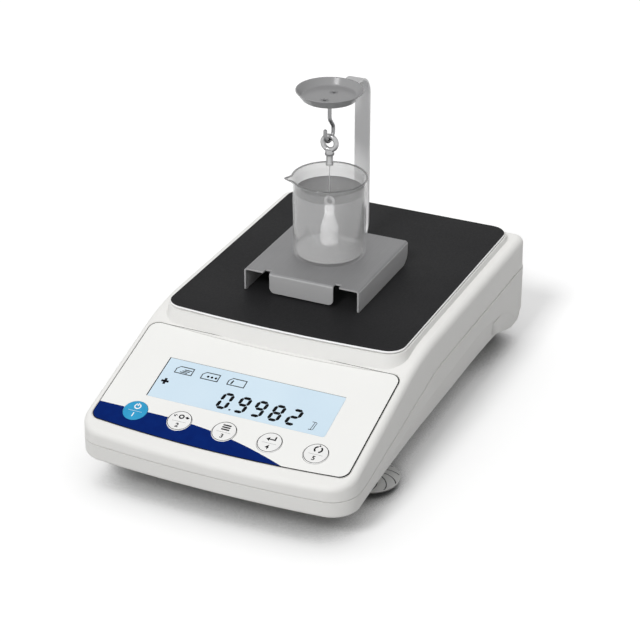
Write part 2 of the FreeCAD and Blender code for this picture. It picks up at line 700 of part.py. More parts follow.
def eye_ring():
    """Ring that hangs on the hook, with a short neck down to the collar."""
    centre_z = HOOK_LOW_Z + HOOK_WIRE + 0.1 - (RING_MAJOR - RING_TUBE)
    ring = Part.makeTorus(RING_MAJOR, RING_TUBE, V(KIT_X, HANG_Y, centre_z), V(0, 1, 0))
    low = centre_z - RING_MAJOR
    neck = cylinder(NECK_RADIUS, COLLAR_HIGH, low + 0.6, KIT_X, HANG_Y)
    hole = Part.makeCylinder(RING_MAJOR - RING_TUBE, 8, V(KIT_X, HANG_Y - 4, centre_z), V(0, 1, 0))
    return ring.fuse(neck.cut(hole)).removeSplitter()


def hanger_collar():
    return cylinder(COLLAR_RADIUS, COLLAR_LOW, COLLAR_HIGH, KIT_X, HANG_Y)


def hanger_ferrule():
    """Clear sleeve round the wire, a little wider at its foot."""
    foot = FERRULE_RADIUS + 0.3
    return spin([(WIRE_RADIUS, FERRULE_LOW, 0), (foot, FERRULE_LOW, 0), (foot, FERRULE_LOW + 1.9, 0),
                 (FERRULE_RADIUS, FERRULE_LOW + 2.2, 0), (FERRULE_RADIUS, COLLAR_LOW, 0),
                 (WIRE_RADIUS, COLLAR_LOW, 0)], KIT_X, HANG_Y)


def hanger_wire():
    """Thin wire from the collar down to a small loop through the sinker's ring."""
    loop_z = SINKER_TOP - SINKER_RING_TUBE + 0.1
    loop = Part.makeTorus(1.6, WIRE_RADIUS, V(KIT_X, HANG_Y, loop_z), V(1, 0, 0))
    wire = cylinder(WIRE_RADIUS, loop_z + 1.5, COLLAR_LOW, KIT_X, HANG_Y)
    return wire.fuse(loop).removeSplitter()


def sinker():
    """Glass plummet: ring, neck bead, cone, straight body and round base."""
    reach = SINKER_RING_MAJOR + SINKER_RING_TUBE
    ring = Part.makeTorus(SINKER_RING_MAJOR, SINKER_RING_TUBE, V(KIT_X, HANG_Y, SINKER_TOP - reach),
                          V(0, 1, 0))
    neck = spin([(0, BAND_HIGH, 0), (3.2, BAND_HIGH, 0), (4.0, 52.2, 1.0), (3.2, 53.6, 0),
                 (1.8, 54.3, 0), (0, 54.3, 0)], KIT_X, HANG_Y)
    body = spin([(0, SINKER_BOTTOM, 0), (SINKER_RADIUS, SINKER_BOTTOM, 3.5),
                 (SINKER_RADIUS, 37.1, 6.0), (BAND_RADIUS, BAND_LOW, 0), (0, BAND_LOW, 0)],
                KIT_X, HANG_Y)
    stem = cylinder(BAND_SEAT, BAND_LOW - 0.2, BAND_HIGH + 0.1, KIT_X, HANG_Y)
    return ring.fuse([neck, stem, body]).removeSplitter()


def sinker_band():
    return spin([(BAND_SEAT, BAND_LOW, 0), (BAND_RADIUS, BAND_LOW, 0), (BAND_RADIUS, BAND_HIGH, 0),
                 (BAND_SEAT, BAND_HIGH, 0)], KIT_X, HANG_Y)


def wheel_groove(angle, lowered):
    """One curved groove of a levelling wheel, as deep as the wheel was lowered."""
    place = V(GROOVE_BEND_PLACE, 0, WHEEL_EDGE_HIGH - GROOVE_DEPTH - 0.1)
    ring = Part.makeCylinder(GROOVE_BEND + GROOVE_WIDTH / 2, 4.0, place)
    ring = ring.cut(Part.makeCylinder(GROOVE_BEND - GROOVE_WIDTH / 2, 4.0, place))
    ring = ring.common(box(-30, 30, 0, 30, WHEEL_LOW, WHEEL_HUB_TOP))
    ring = ring.common(cylinder(WHEEL_RADIUS - 0.8, WHEEL_LOW, WHEEL_HUB_TOP))
    ring = ring.cut(cylinder(WHEEL_HUB + 1.5, WHEEL_LOW, WHEEL_HUB_TOP))
    ring.rotate(V(0, 0, 0), V(0, 0, 1), angle)
    return ring.cut(lowered)


def levelling_wheel():
    """Flat hand wheel that falls away to a thin edge, with grooves that curve out from its hub."""
    body = spin([(STUD_RADIUS, WHEEL_LOW, 0), (8.5, WHEEL_LOW, 0), (10.5, WHEEL_EDGE_LOW, 0),
                 (WHEEL_RADIUS - 0.4, WHEEL_EDGE_LOW, 0), (WHEEL_RADIUS, WHEEL_EDGE_LOW + 0.4, 0),
                 (WHEEL_RADIUS, WHEEL_EDGE_HIGH, 0), (WHEEL_HUB + 1.0, WHEEL_CROWN, 0),
                 (WHEEL_HUB, WHEEL_CROWN + 0.8, 0), (WHEEL_HUB, WHEEL_HUB_TOP, 0),
                 (STUD_RADIUS, WHEEL_HUB_TOP, 0)])
    lowered = body.copy()
    lowered.translate(V(0, 0, -GROOVE_DEPTH))
    angles = [GROOVE_TURN + i * 360 / GROOVES for i in range(GROOVES)]
    return body.cut([wheel_groove(angle, lowered) for angle in angles]).removeSplitter()


def levelling_stud():
    """Threaded stud, its thread drawn as shallow ring grooves."""
    outline = [(0, -92.2, 0), (3.0, -92.2, 0), (3.0, WHEEL_LOW, 0), (STUD_RADIUS, WHEEL_LOW, 0),
               (STUD_RADIUS, -78.0, 0)]
    for i in range(6):
        z = -78.0 + i * 1.5
        outline += [(STUD_RADIUS, z + 0.3, 0), (STUD_RADIUS - 0.5, z + 0.8, 0),
                    (STUD_RADIUS, z + 1.3, 0)]
    outline += [(STUD_RADIUS, -54.0, 0), (STUD_RADIUS - 0.8, -53.2, 0), (0, -53.2, 0)]
    return spin(outline)


def levelling_pad():
    return spin([(0, FLOOR_Z, 0), (9.6, FLOOR_Z, 0), (10.0, -92.6, 0), (10.0, -91.9, 0),
                 (6.0, -90.8, 0), (3.0 + FIT_GAP, -90.8, 0), (3.0 + FIT_GAP, -92.2, 0),
                 (0, -92.2, 0)])


def foot_insert():
    return spin([(STUD_RADIUS + FIT_GAP, CASE_BOTTOM, 0), (6.0, CASE_BOTTOM, 0), (6.0, -50.0, 0),
                 (STUD_RADIUS + FIT_GAP, -50.0, 0)])


def rear_foot():
    return spin([(0, FLOOR_Z, 0), (REAR_FOOT_RADIUS - 0.8, FLOOR_Z, 0),
                 (REAR_FOOT_RADIUS, FLOOR_Z + 0.8, 0), (REAR_FOOT_RADIUS + 1.0, POD_BOTTOM, 0),
                 (0, POD_BOTTOM, 0)])


def moved(solid, x, y):
    solid = solid.copy()
    solid.translate(V(x, y, 0))
    return solid


def case_screw(x, y, seat):
    low = seat - SCREW_HEAD_HEIGHT
    return spin([(0, low, 0), (SCREW_HEAD - 0.6, low, 0), (SCREW_HEAD, low + 0.6, 0),
                 (SCREW_HEAD, seat, 0), (SCREW_RADIUS, seat, 0),
                 (SCREW_RADIUS, seat + SCREW_LENGTH, 0), (0, seat + SCREW_LENGTH, 0)], x, y)


def cell_base():
    plate = rounded([(-62, -70, 10), (62, -70, 10), (62, 70, 10), (-62, 70, 10)], "xy")
    plate.translate(V(KIT_X, 0, -61))
    return prism(plate, 6)


def cell_block():
    """Machined block with the parallel cut that leaves its lever inside."""
    block = box(KIT_X - 24, KIT_X + 24, 16, 66, -55, -15)
    block = block.cut(box(KIT_X - 30, KIT_X + 30, 26, 58, -48, -44))
    block = block.cut(box(KIT_X - 30, KIT_X + 30, 26, 58, -26, -22))
    return block.cut(box(KIT_X - 30, KIT_X + 30, 26, 30, -48, -22))


def guide_leaf(z):
    """Thin guide from the block's face to an eye round the spindle."""
    outline = rounded([(-22, 16, 0), (-9, -10, 9), (9, -10, 9), (22, 16, 0)], "xy")
    outline.translate(V(KIT_X, 0, z))
    leaf = prism(outline, 0.6)
    return leaf.cut(cylinder(6.0 + FIT_GAP, z - 1, z + 2, KIT_X, 0))


def spindle():
    return spin([(0, -53.0, 0), (6.0, -53.0, 0), (6.0, -13.0, 0), (9.0, -9.5, 0), (9.0, -7.0, 0),
                 (SPINDLE_RADIUS, -7.0, 0), (SPINDLE_RADIUS, -1.5, 0), (SPINDLE_RADIUS - 0.5, -1.0, 0),
                 (0, -1.0, 0)], KIT_X, 0)


def magnet_pot():
    return spin([(0, -55, 0), (20, -55, 0), (20, -28, 0), (13, -28, 0), (13, -34, 0), (10, -34, 0),
                 (10, -29, 0), (0, -29, 0)], KIT_X, -36)


def power_inlet():
    """Barrel inlet seen from behind: round mouth with a centre pin."""
    body = box(-36, -24, 98, 108.5, -55, -43)
    mouth = Part.makeCylinder(4.9, 2.5, V(-30, 108.5, -49), V(0, 1, 0))
    body = body.fuse(mouth)
    body = body.cut(Part.makeCylinder(3.2, 9.5, V(-30, 101.5, -49), V(0, 1, 0)))
    pin = Part.makeCylinder(1.0, 8.5, V(-30, 101.4, -49), V(0, 1, 0))
    return body.fuse(pin).removeSplitter()


def data_socket():
    """Nine way socket: flange behind the wall, D shaped shell in front, holes in its face."""
    flange = box(-15.4, 15.4, 107.3, 108.5, -55.2, -42.8)
    body = box(-9.5, 9.5, 98.5, 107.3, -54, -44)
    shell = Part.Face(rounded([(-7.9, -53.1, 2.2), (7.9, -53.1, 2.2), (8.4, -44.9, 2.2),
                               (-8.4, -44.9, 2.2)], "xz")).extrude(V(0, 7.7, 0))
    shell.translate(V(0, 107.3, 0))
    solid = flange.fuse([body, shell]).removeSplitter()
    for row, count, z in ((0, 5, -47.6), (1, 4, -50.4)):
        for i in range(count):
            x = (i - (count - 1) / 2) * 2.77
            solid = solid.cut(Part.makeCylinder(0.6, 3, V(x, 113, z), V(0, 1, 0)))
    return solid


def plate_pad(x, y):
    return spin([(0, PLATFORM_TOP, 0), (6.0, PLATFORM_TOP, 0), (6.0, -PLATE_THICKNESS, 0),
                 (0, -PLATE_THICKNESS, 0)], x, y)


save("upper_case", upper_case())
save("lower_case", lower_case())
save("panel_overlay", overlay())
save("display_window", on_panel(display_block(0.0, -OVERLAY_DEPTH, 0.0)))
save("display_module", display_module())
save("display_board", display_board())
save("key_switches", *[key_switch(i) for i in range(5)])
for number, name in enumerate(KEY_NAMES):
    save(name, key(number))
save("main_board", main_board())
save("power_inlet", power_inlet())
save("data_socket", data_socket())
save("case_screws", *[case_screw(*place) for place in boss_places()])

save("base_plate", base_plate())
save("plate_pads", *[plate_pad(x, y) for x in (-75, 75) for y in (-85, 85)])
save("bridge", bridge())
save("beaker", beaker())

save("cell_base", cell_base())
save("cell_block", cell_block())
save("guide_leaves", guide_leaf(-20.0), guide_leaf(-46.0))
save("magnet_pot", magnet_pot())
save("spindle", spindle())

save("gantry", gantry())
save("gantry_bush", gantry_bush())
save("dish_screws", *[dish_screw(y) for y in DISH_SCREW_Y])
save("bush_screw", bush_screw())
save("weighing_dish", dish())
save("hook", hook())
save("eye_ring", eye_ring())
save("hanger_collar", hanger_collar())
save("hanger_ferrule", hanger_ferrule())
save("hanger_wire", hanger_wire())
save("sinker", sinker())
save("sinker_band", sinker_band())

for side, x in (("left", -FOOT_X), ("right", FOOT_X)):
    save("levelling_wheel_" + side, moved(levelling_wheel(), x, FOOT_Y))
    save("levelling_stud_" + side, moved(levelling_stud(), x, FOOT_Y))
    save("levelling_pad_" + side, moved(levelling_pad(), x, FOOT_Y))
save("foot_inserts", *[moved(foot_insert(), x, FOOT_Y) for x in (-FOOT_X, FOOT_X)])
save("rear_feet", *[moved(rear_foot(), x, REAR_FOOT_Y) for x in (-REAR_FOOT_X, REAR_FOOT_X)])
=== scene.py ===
# %% [markdown]
# A benchtop density meter is a precision balance that carries a small kit: a bridge over its
# plate, a beaker on the bridge, and a gantry whose dish and hook hang a glass sinker in the
# liquid. The solid model gives every piece its size and place. This file dresses it: it gives
# each piece a finish, and makes what a solid model can't show well, such as thin glass, liquid
# and printed ink. The first cell loads the solid model and keeps its box.

import json
import math

import bmesh
import bpy
import numpy as np
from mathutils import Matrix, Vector
from mathutils.geometry import convex_hull_2d


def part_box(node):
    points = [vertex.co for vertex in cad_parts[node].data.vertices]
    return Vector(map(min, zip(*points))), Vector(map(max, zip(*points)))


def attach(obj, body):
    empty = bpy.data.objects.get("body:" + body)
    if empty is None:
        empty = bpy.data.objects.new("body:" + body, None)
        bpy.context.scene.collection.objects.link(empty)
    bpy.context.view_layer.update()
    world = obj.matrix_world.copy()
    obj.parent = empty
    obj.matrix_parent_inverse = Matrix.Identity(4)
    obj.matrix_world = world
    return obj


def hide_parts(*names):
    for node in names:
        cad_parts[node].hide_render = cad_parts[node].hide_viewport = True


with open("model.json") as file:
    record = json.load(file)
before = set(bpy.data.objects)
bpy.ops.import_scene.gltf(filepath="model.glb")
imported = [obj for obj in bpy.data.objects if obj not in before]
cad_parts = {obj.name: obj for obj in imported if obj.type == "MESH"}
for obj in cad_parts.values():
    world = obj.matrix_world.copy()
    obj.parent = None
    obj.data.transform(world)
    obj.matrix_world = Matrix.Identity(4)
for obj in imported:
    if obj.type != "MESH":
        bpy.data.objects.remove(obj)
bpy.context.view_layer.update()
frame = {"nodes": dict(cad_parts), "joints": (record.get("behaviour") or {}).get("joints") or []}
nodes = frame["nodes"]
scene = bpy.context.scene
MM = 0.001

# %% [markdown]
# Places come from the solid model, so nothing is fitted by eye.

# %% Places read from the solid model
plate_low, plate_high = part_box("base_plate")
PLATE_FRONT_REACH = 112.5 * MM
plate_middle = Vector((0.0, plate_low.y + PLATE_FRONT_REACH, plate_high.z))

sinker_low, sinker_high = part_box("sinker")
kit_axis = (sinker_low + sinker_high) / 2

press = next(j for j in frame["joints"] if j["name"] == "key_power_press")
panel_normal = -np.array(press["axis"], float)
panel_right = np.array([1.0, 0.0, 0.0])
panel_up = np.cross(panel_normal, panel_right)
FILM = 0.8 * MM
window_low, window_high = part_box("display_window")
panel_middle = np.array((window_low + window_high) / 2) + panel_normal * FILM / 2


def panel_points(flat):
    """Middle of the panel plus u times right, v times up and lift times the normal."""
    flat = np.asarray(flat, float) * MM
    return (panel_middle + flat[:, :1] * panel_right + flat[:, 1:2] * panel_up
            + flat[:, 2:3] * panel_normal)


def panel_place(node):
    """Where a node's middle lies in the panel's own u and v, in mm."""
    low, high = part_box(node)
    away = np.array((low + high) / 2) - panel_middle
    return np.array([away @ panel_right, away @ panel_up]) / MM


print("panel slope in degrees:", round(math.degrees(math.asin(panel_up[2])), 2))

# %% [markdown]
# The camera comes first, because everything is judged through it. The photograph was taken with
# a long lens from the front right, a little above, so the case's far edges hardly converge. The
# focal length is held in pixels of the picture, which makes it easy to turn into millimetres of
# lens on a 36 mm sensor.

# %% Camera
PICTURE_WIDTH, PICTURE_HEIGHT = 640, 641
FOCAL_PIXELS = 2092.3
CAMERA_AZIMUTH, CAMERA_PITCH = 24.68, 28.03
CAMERA_FROM_PLATE = Vector((558.6, -1256.7, 685.0)) * MM
SENSOR = 36.0

lens = bpy.data.cameras.new("studio_camera")
lens.sensor_width = SENSOR
lens.lens = FOCAL_PIXELS * SENSOR / max(PICTURE_WIDTH, PICTURE_HEIGHT)
lens.clip_start, lens.clip_end = 0.05, 50.0
camera = bpy.data.objects.new("studio_camera", lens)
camera.location = plate_middle + CAMERA_FROM_PLATE
camera.rotation_euler = (math.radians(90 - CAMERA_PITCH), 0.0, math.radians(CAMERA_AZIMUTH))
scene.collection.objects.link(camera)
scene.camera = camera
scene.view_settings.view_transform = "Standard"
print("lens:", round(lens.lens, 1), "mm")

# %% [markdown]
# A surface here is a grid of points worked out at once with numpy: one number runs along the
# rows, the other along the columns. The helper below joins neighbours into four-sided faces, and
# can close each row round on itself. Where a profile starts on its own axis, a whole row of
# points falls together in a pole, so doubles are merged and the faces are turned outwards.

# %% Helpers that make meshes
def surface(name, points, close_columns=True, sharp=35.0):
    """Mesh object from one grid of points, or from a stack of grids of the same size.

    Face (i, j) joins rows i, i+1 and columns j, j+1; closed, the last column joins the first.
    """
    grids = points if points.ndim == 4 else points[None]
    count, rows, columns = grids.shape[:3]
    i = np.arange(rows - 1)[:, None]
    j = np.arange(columns if close_columns else columns - 1)[None, :]
    k, m = i + 1, (j + 1) % columns
    one = np.stack([i * columns + j, i * columns + m, k * columns + m, k * columns + j], -1)
    faces = one + (np.arange(count) * rows * columns)[:, None, None, None]
    mesh = bpy.data.meshes.new(name)
    mesh.from_pydata(points.reshape(-1, 3), [], faces.reshape(-1, 4))
    return tidy(bpy.data.objects.new(name, mesh), sharp)


def tidy(piece, sharp=35.0):
    """Merge doubles, turn faces outwards, and shade smooth except at edges over the angle."""
    work = bmesh.new()
    work.from_mesh(piece.data)
    bmesh.ops.remove_doubles(work, verts=work.verts, dist=1e-7)
    bmesh.ops.dissolve_degenerate(work, dist=1e-8, edges=work.edges)
    bmesh.ops.recalc_face_normals(work, faces=work.faces)
    work.to_mesh(piece.data)
    work.free()
    piece.data.shade_smooth()
    piece.data.set_sharp_from_angle(angle=math.radians(sharp))
    if piece.name not in scene.collection.objects:
        scene.collection.objects.link(piece)
    return piece


def turned(name, profile, middle, steps=128, sharp=35.0):
    """Profile of (radius, height) swept round an upright axis: (r cos a, r sin a, h)."""
    profile = np.asarray(profile, float) * MM
    angle = np.linspace(0, 2 * np.pi, steps, endpoint=False)
    points = np.empty((len(profile), steps, 3))
    points[..., 0] = middle[0] + profile[:, :1] * np.cos(angle)
    points[..., 1] = middle[1] + profile[:, :1] * np.sin(angle)
    points[..., 2] = middle[2] + profile[:, 1:]
    return surface(name, points, sharp=sharp)


def eased(corners, steps=8):
    """Outline through corners (a, b, radius), each corner an arc of its radius.

    The arc's middle lies on the corner's bisector, radius over the sine of the half angle away.
    """
    corners = np.asarray(corners, float)
    line = [corners[:1, :2]]
    for before, here, after in zip(corners[:-2], corners[1:-1], corners[2:]):
        if here[2] <= 0:
            line.append(here[None, :2])
            continue
        back = before[:2] - here[:2]
        ahead = after[:2] - here[:2]
        back, ahead = back / np.linalg.norm(back), ahead / np.linalg.norm(ahead)
        half = math.acos(np.clip(back @ ahead, -1, 1)) / 2
        bisector = (back + ahead) / np.linalg.norm(back + ahead)
        middle = here[:2] + bisector * here[2] / math.sin(half)
        start = here[:2] + back * here[2] / math.tan(half) - middle
        end = here[:2] + ahead * here[2] / math.tan(half) - middle
        turn = math.atan2(start[0] * end[1] - start[1] * end[0], start @ end)
        a = math.atan2(start[1], start[0]) + np.linspace(0, turn, steps)
        line.append(middle + here[2] * np.stack([np.cos(a), np.sin(a)], 1))
    line.append(corners[-1:, :2])
    return np.concatenate(line)


# %% [markdown]
# Every finish is a small tree of nodes round one Principled shader. Moulded plastic, paint and
# rolled metal are never one flat colour up close, so each tree starts from noise on Object
# coordinates, in real metres, and uses it three times: a slight shift of colour, a change of
# roughness, and a relief of a few hundredths of a millimetre.

# %% Helpers that make finishes
def new_finish(name, **sockets):
    """Material with one Principled shader and plain values on the named sockets."""
    material = bpy.data.materials.new(name)
    material.use_nodes = True
    shader = material.node_tree.nodes["Principled BSDF"]
    for socket, value in sockets.items():
        shader.inputs[socket.replace("_", " ")].default_value = value
    return material, material.node_tree, shader


def noise(tree, scale, detail=2.0, stretch=(1.0, 1.0, 1.0)):
    """Noise over Object coordinates, each axis multiplied by its stretch first."""
    place = tree.nodes.new("ShaderNodeTexCoord")
    mapping = tree.nodes.new("ShaderNodeMapping")
    mapping.inputs["Scale"].default_value = stretch
    texture = tree.nodes.new("ShaderNodeTexNoise")
    texture.inputs["Scale"].default_value = scale
    texture.inputs["Detail"].default_value = detail
    tree.links.new(place.outputs["Object"], mapping.inputs["Vector"])
    tree.links.new(mapping.outputs["Vector"], texture.inputs["Vector"])
    return texture.outputs["Fac"]


def spread(tree, value, low, high, start=0.3, end=0.7):
    """The value's range start to end carried over to low to high."""
    node = tree.nodes.new("ShaderNodeMapRange")
    node.inputs["From Min"].default_value = start
    node.inputs["From Max"].default_value = end
    node.inputs["To Min"].default_value = low
    node.inputs["To Max"].default_value = high
    tree.links.new(value, node.inputs["Value"])
    return node.outputs["Result"]


def colours(tree, value, first, second, start=0.3, end=0.7):
    """A blend from the first colour to the second as the value goes from start to end."""
    ramp = tree.nodes.new("ShaderNodeValToRGB")
    ramp.color_ramp.elements[0].position = start
    ramp.color_ramp.elements[1].position = end
    ramp.color_ramp.elements[0].color = (*first, 1.0)
    ramp.color_ramp.elements[1].color = (*second, 1.0)
    tree.links.new(value, ramp.inputs["Fac"])
    return ramp.outputs["Color"]


def relief(tree, shader, value, depth, edge=0.0):
    """Bump of that depth in metres, over edges that look rounded by a small radius."""
    bump = tree.nodes.new("ShaderNodeBump")
    bump.inputs["Strength"].default_value = 1.0
    bump.inputs["Distance"].default_value = depth
    tree.links.new(value, bump.inputs["Height"])
    if edge:
        bevel = tree.nodes.new("ShaderNodeBevel")
        bevel.samples = 4
        bevel.inputs["Radius"].default_value = edge
        tree.links.new(bevel.outputs["Normal"], bump.inputs["Normal"])
    tree.links.new(bump.outputs["Normal"], shader.inputs["Normal"])


def grained(name, first, second, rough, coarse, fine, depth, edge=0.0, stretch=(1, 1, 1), **sockets):
    """Finish whose colour drifts over the coarse noise and whose surface has the fine grain.

    The colour goes from first to second, and rough is the roughness's low and high. Coarse and
    fine are the noises' scales, depth the grain's relief and edge the look of rounded edges.
    """
    material, tree, shader = new_finish(name, **sockets)
    drift = noise(tree, coarse, 3.0)
    grain = noise(tree, fine, 2.0, stretch)
    tree.links.new(colours(tree, drift, first, second), shader.inputs["Base Color"])
    tree.links.new(spread(tree, grain, *rough), shader.inputs["Roughness"])
    relief(tree, shader, grain, depth, edge)
    return material


dressed = set()


def dress(material, *names):
    """Give the named solid pieces that finish."""
    for name in names:
        nodes[name].data.materials.clear()
        nodes[name].data.materials.append(material)
    dressed.update(names)


# %% [markdown]
# The case is injection moulded in a warm white plastic with a fine spark-eroded grain, satin and
# not glossy. Its edges are never knife sharp, so the finish rounds them in shading by a third of
# a millimetre. The lower half takes the same finish a shade greyer, with softer edges. The film
# and the keys are printed sheet and smooth plastic, so their grain is much finer.

# %% Case, film and keys
case_white = grained("case_white", (0.82, 0.815, 0.795), (0.85, 0.845, 0.825), (0.42, 0.5),
                     9, 2200, 0.012 * MM, edge=0.35 * MM, Specular_IOR_Level=0.25)
base_white = grained("base_white", (0.79, 0.785, 0.765), (0.825, 0.82, 0.80), (0.42, 0.5),
                     9, 2200, 0.012 * MM, edge=1.0 * MM, Specular_IOR_Level=0.25)
film_white = grained("film_white", (0.855, 0.855, 0.835), (0.88, 0.88, 0.86), (0.36, 0.44),
                     12, 5200, 0.004 * MM, Specular_IOR_Level=0.3)
key_white = grained("key_white", (0.83, 0.83, 0.82), (0.87, 0.87, 0.86), (0.34, 0.42),
                    60, 5200, 0.003 * MM, edge=0.15 * MM)
key_blue = grained("key_blue", (0.012, 0.30, 0.56), (0.03, 0.36, 0.63), (0.34, 0.42),
                   90, 5200, 0.003 * MM, edge=0.15 * MM, Specular_IOR_Level=0.25)
dress(case_white, "upper_case")
dress(base_white, "lower_case")
dress(film_white, "panel_overlay")
dress(key_white, "key_zero", "key_mode", "key_enter", "key_print")
dress(key_blue, "key_power")
print("solid pieces dressed so far:", len(dressed))

# %% [markdown]
# The base plate is steel under a matt black coat, bare along its cut edge, where the face no
# longer looks up; that edge is painted nearly white, bare metal plus a painted highlight. The
# bridge, gantry and dish are stainless sheet, blasted before they were bent: a dull grey with
# hardly a mirror in it, so the finish is a part metal and a part rough paint. On all of them the
# faces that look sideways are painted paler than those that look up, a painted light from the
# pale room, so colour and metal both follow which way a face looks. The hook and the ring are
# drawn bar, polished, with a painted dark reflection where they turn away, and the screws are dull.

# %% Plate and metal
def paint_light_by_facing(material, sideways, metal=None, start=0.45, end=0.8):
    """Painted light: keep the finish where a face looks up, and paint another colour where it looks
    sideways, for the light and shade that sideways faces take.

    The upward part of the face's normal blends them from start to end; metal is the metallic
    value sideways, if that changes too.
    """
    tree = material.node_tree
    shader = tree.nodes["Principled BSDF"]
    base = shader.inputs["Base Color"]
    facing = tree.nodes.new("ShaderNodeNewGeometry")
    split = tree.nodes.new("ShaderNodeSeparateXYZ")
    tree.links.new(facing.outputs["True Normal"], split.inputs["Vector"])
    blend = tree.nodes.new("ShaderNodeMix")
    blend.data_type = "RGBA"
    blend.inputs["A"].default_value = (*sideways, 1.0)
    upward = split.outputs["Z"]
    tree.links.new(spread(tree, upward, 0.0, 1.0, start, end), blend.inputs["Factor"])
    tree.links.new(base.links[0].from_socket, blend.inputs["B"])
    tree.links.new(blend.outputs["Result"], base)
    if metal is not None:
        metallic = shader.inputs["Metallic"]
        tree.links.new(spread(tree, upward, metal, metallic.default_value, start, end), metallic)


RIM_START, RIM_END = 0.25, 0.8


def paint_dark_rim_reflection(material, colour):
    """Painted reflection: blend towards a dark colour where a round bar turns away, standing in for the
    dark rim that polished bar shows on a pale ground.
    """
    tree = material.node_tree
    base = tree.nodes["Principled BSDF"].inputs["Base Color"]
    turning = tree.nodes.new("ShaderNodeLayerWeight")
    turning.inputs["Blend"].default_value = 0.5
    blend = tree.nodes.new("ShaderNodeMix")
    blend.data_type = "RGBA"
    blend.inputs["B"].default_value = (*colour, 1.0)
    tree.links.new(spread(tree, turning.outputs["Facing"], 0.0, 1.0, RIM_START, RIM_END),
                   blend.inputs["Factor"])
    tree.links.new(base.links[0].from_socket, blend.inputs["A"])
    tree.links.new(blend.outputs["Result"], base)


plate_black = grained("plate_black", (0.015, 0.015, 0.016), (0.020, 0.020, 0.021), (0.5, 0.62),
                      14, 950, 0.015 * MM, Specular_IOR_Level=0.06)
# The cut edge is painted nearly white: bare steel plus a painted highlight.
paint_light_by_facing(plate_black, (0.96, 0.96, 0.96), metal=0.6)
bridge_steel = grained("bridge_steel", (0.235, 0.235, 0.239), (0.262, 0.262, 0.266), (0.46, 0.58),
                       18, 900, 0.004 * MM, edge=0.2 * MM, stretch=(1, 0.05, 1), Metallic=0.3,
                       Specular_IOR_Level=0.2)
# Sideways faces painted paler: painted light.
paint_light_by_facing(bridge_steel, (0.54, 0.54, 0.544), start=0.3, end=0.55)
gantry_steel = grained("gantry_steel", (0.43, 0.43, 0.434), (0.47, 0.47, 0.474), (0.44, 0.56),
                       18, 900, 0.002 * MM, edge=0.25 * MM, stretch=(1, 1, 0.05), Metallic=0.2,
                       Specular_IOR_Level=0.3)
# Sideways faces painted almost white: painted light, which also offsets the dish's shadow on the strip.
paint_light_by_facing(gantry_steel, (0.98, 0.98, 0.984), metal=0.05)
dish_steel = grained("dish_steel", (0.25, 0.25, 0.253), (0.28, 0.28, 0.283), (0.18, 0.24),
                     30, 700, 0.0008 * MM, edge=0.3 * MM, Metallic=0.06, Specular_IOR_Level=0.1)
# Dish walls painted paler than its floor: painted light.
paint_light_by_facing(dish_steel, (0.42, 0.42, 0.424), metal=0.0, start=0.15, end=0.98)
hook_steel = grained("hook_steel", (0.30, 0.30, 0.305), (0.36, 0.36, 0.365), (0.3, 0.42),
                     120, 2500, 0.002 * MM, Metallic=0.8)
ring_steel = grained("ring_steel", (0.50, 0.50, 0.504), (0.57, 0.57, 0.574), (0.3, 0.4),
                     120, 2500, 0.002 * MM, Metallic=0.7)
wire_steel = grained("wire_steel", (0.56, 0.56, 0.564), (0.66, 0.66, 0.664), (0.35, 0.45),
                     120, 2500, 0.001 * MM, Metallic=0.3)
screw_dark = grained("screw_dark", (0.20, 0.20, 0.204), (0.25, 0.25, 0.254), (0.55, 0.7),
                     200, 3000, 0.002 * MM, Metallic=0.2, Specular_IOR_Level=0.2)
# Hook and ring: a painted dark reflection at their turning edges.
for round_steel in (hook_steel, ring_steel):
    paint_dark_rim_reflection(round_steel, (0.06, 0.06, 0.062))
dress(plate_black, "base_plate")
dress(bridge_steel, "bridge")
dress(gantry_steel, "gantry", "gantry_bush", "bush_screw", "spindle")
dress(dish_steel, "weighing_dish")
dress(hook_steel, "hook")
dress(ring_steel, "eye_ring", "levelling_stud_left", "levelling_stud_right", "case_screws")
dress(wire_steel, "hanger_wire")
dress(screw_dark, "dish_screws", "hanger_collar")
print("solid pieces dressed so far:", len(dressed))

# %% [markdown]
# Rubber, socket plastic, brass and circuit board are the finishes of the pieces underneath,
# behind and inside. Most never show, but a part that is taken apart should still look right. The
# plain white of the sinker's band is made here too, from the same helper.

# %% Pieces underneath, behind and inside
rubber = grained("rubber", (0.022, 0.022, 0.023), (0.035, 0.035, 0.036), (0.7, 0.85),
                 60, 2500, 0.02 * MM)
socket_black = grained("socket_black", (0.018, 0.018, 0.019), (0.028, 0.028, 0.03), (0.4, 0.5),
                       60, 3000, 0.01 * MM)
tinned = grained("tinned", (0.55, 0.55, 0.55), (0.66, 0.66, 0.65), (0.3, 0.42),
                 60, 2500, 0.004 * MM, Metallic=1.0)
brass = grained("brass", (0.62, 0.44, 0.16), (0.70, 0.52, 0.22), (0.28, 0.4),
                80, 2500, 0.004 * MM, Metallic=1.0)
board_green = grained("board_green", (0.012, 0.09, 0.035), (0.02, 0.14, 0.055), (0.35, 0.5),
                      90, 1800, 0.01 * MM)
cast_metal = grained("cast_metal", (0.42, 0.42, 0.43), (0.5, 0.5, 0.51), (0.45, 0.6),
                     40, 1200, 0.02 * MM, Metallic=1.0)
band_white = grained("band_white", (0.95, 0.95, 0.95), (0.98, 0.98, 0.98), (0.3, 0.4),
                     200, 3000, 0.002 * MM)
dress(rubber, "rear_feet", "levelling_pad_left", "levelling_pad_right", "plate_pads")
dress(socket_black, "power_inlet", "key_switches")
dress(tinned, "data_socket", "display_module")
dress(brass, "foot_inserts")
dress(board_green, "main_board", "display_board")
dress(cast_metal, "cell_base", "cell_block", "guide_leaves", "magnet_pot")
dress(band_white, "sinker_band")
print("solid pieces dressed so far:", len(dressed))

# %% [markdown]
# The display is a positive liquid crystal panel: a pale blue ground, a little uneven, with near
# black segments. The ground is the window's own finish, with a thin clear coat, and the segments
# are laid on it further down.

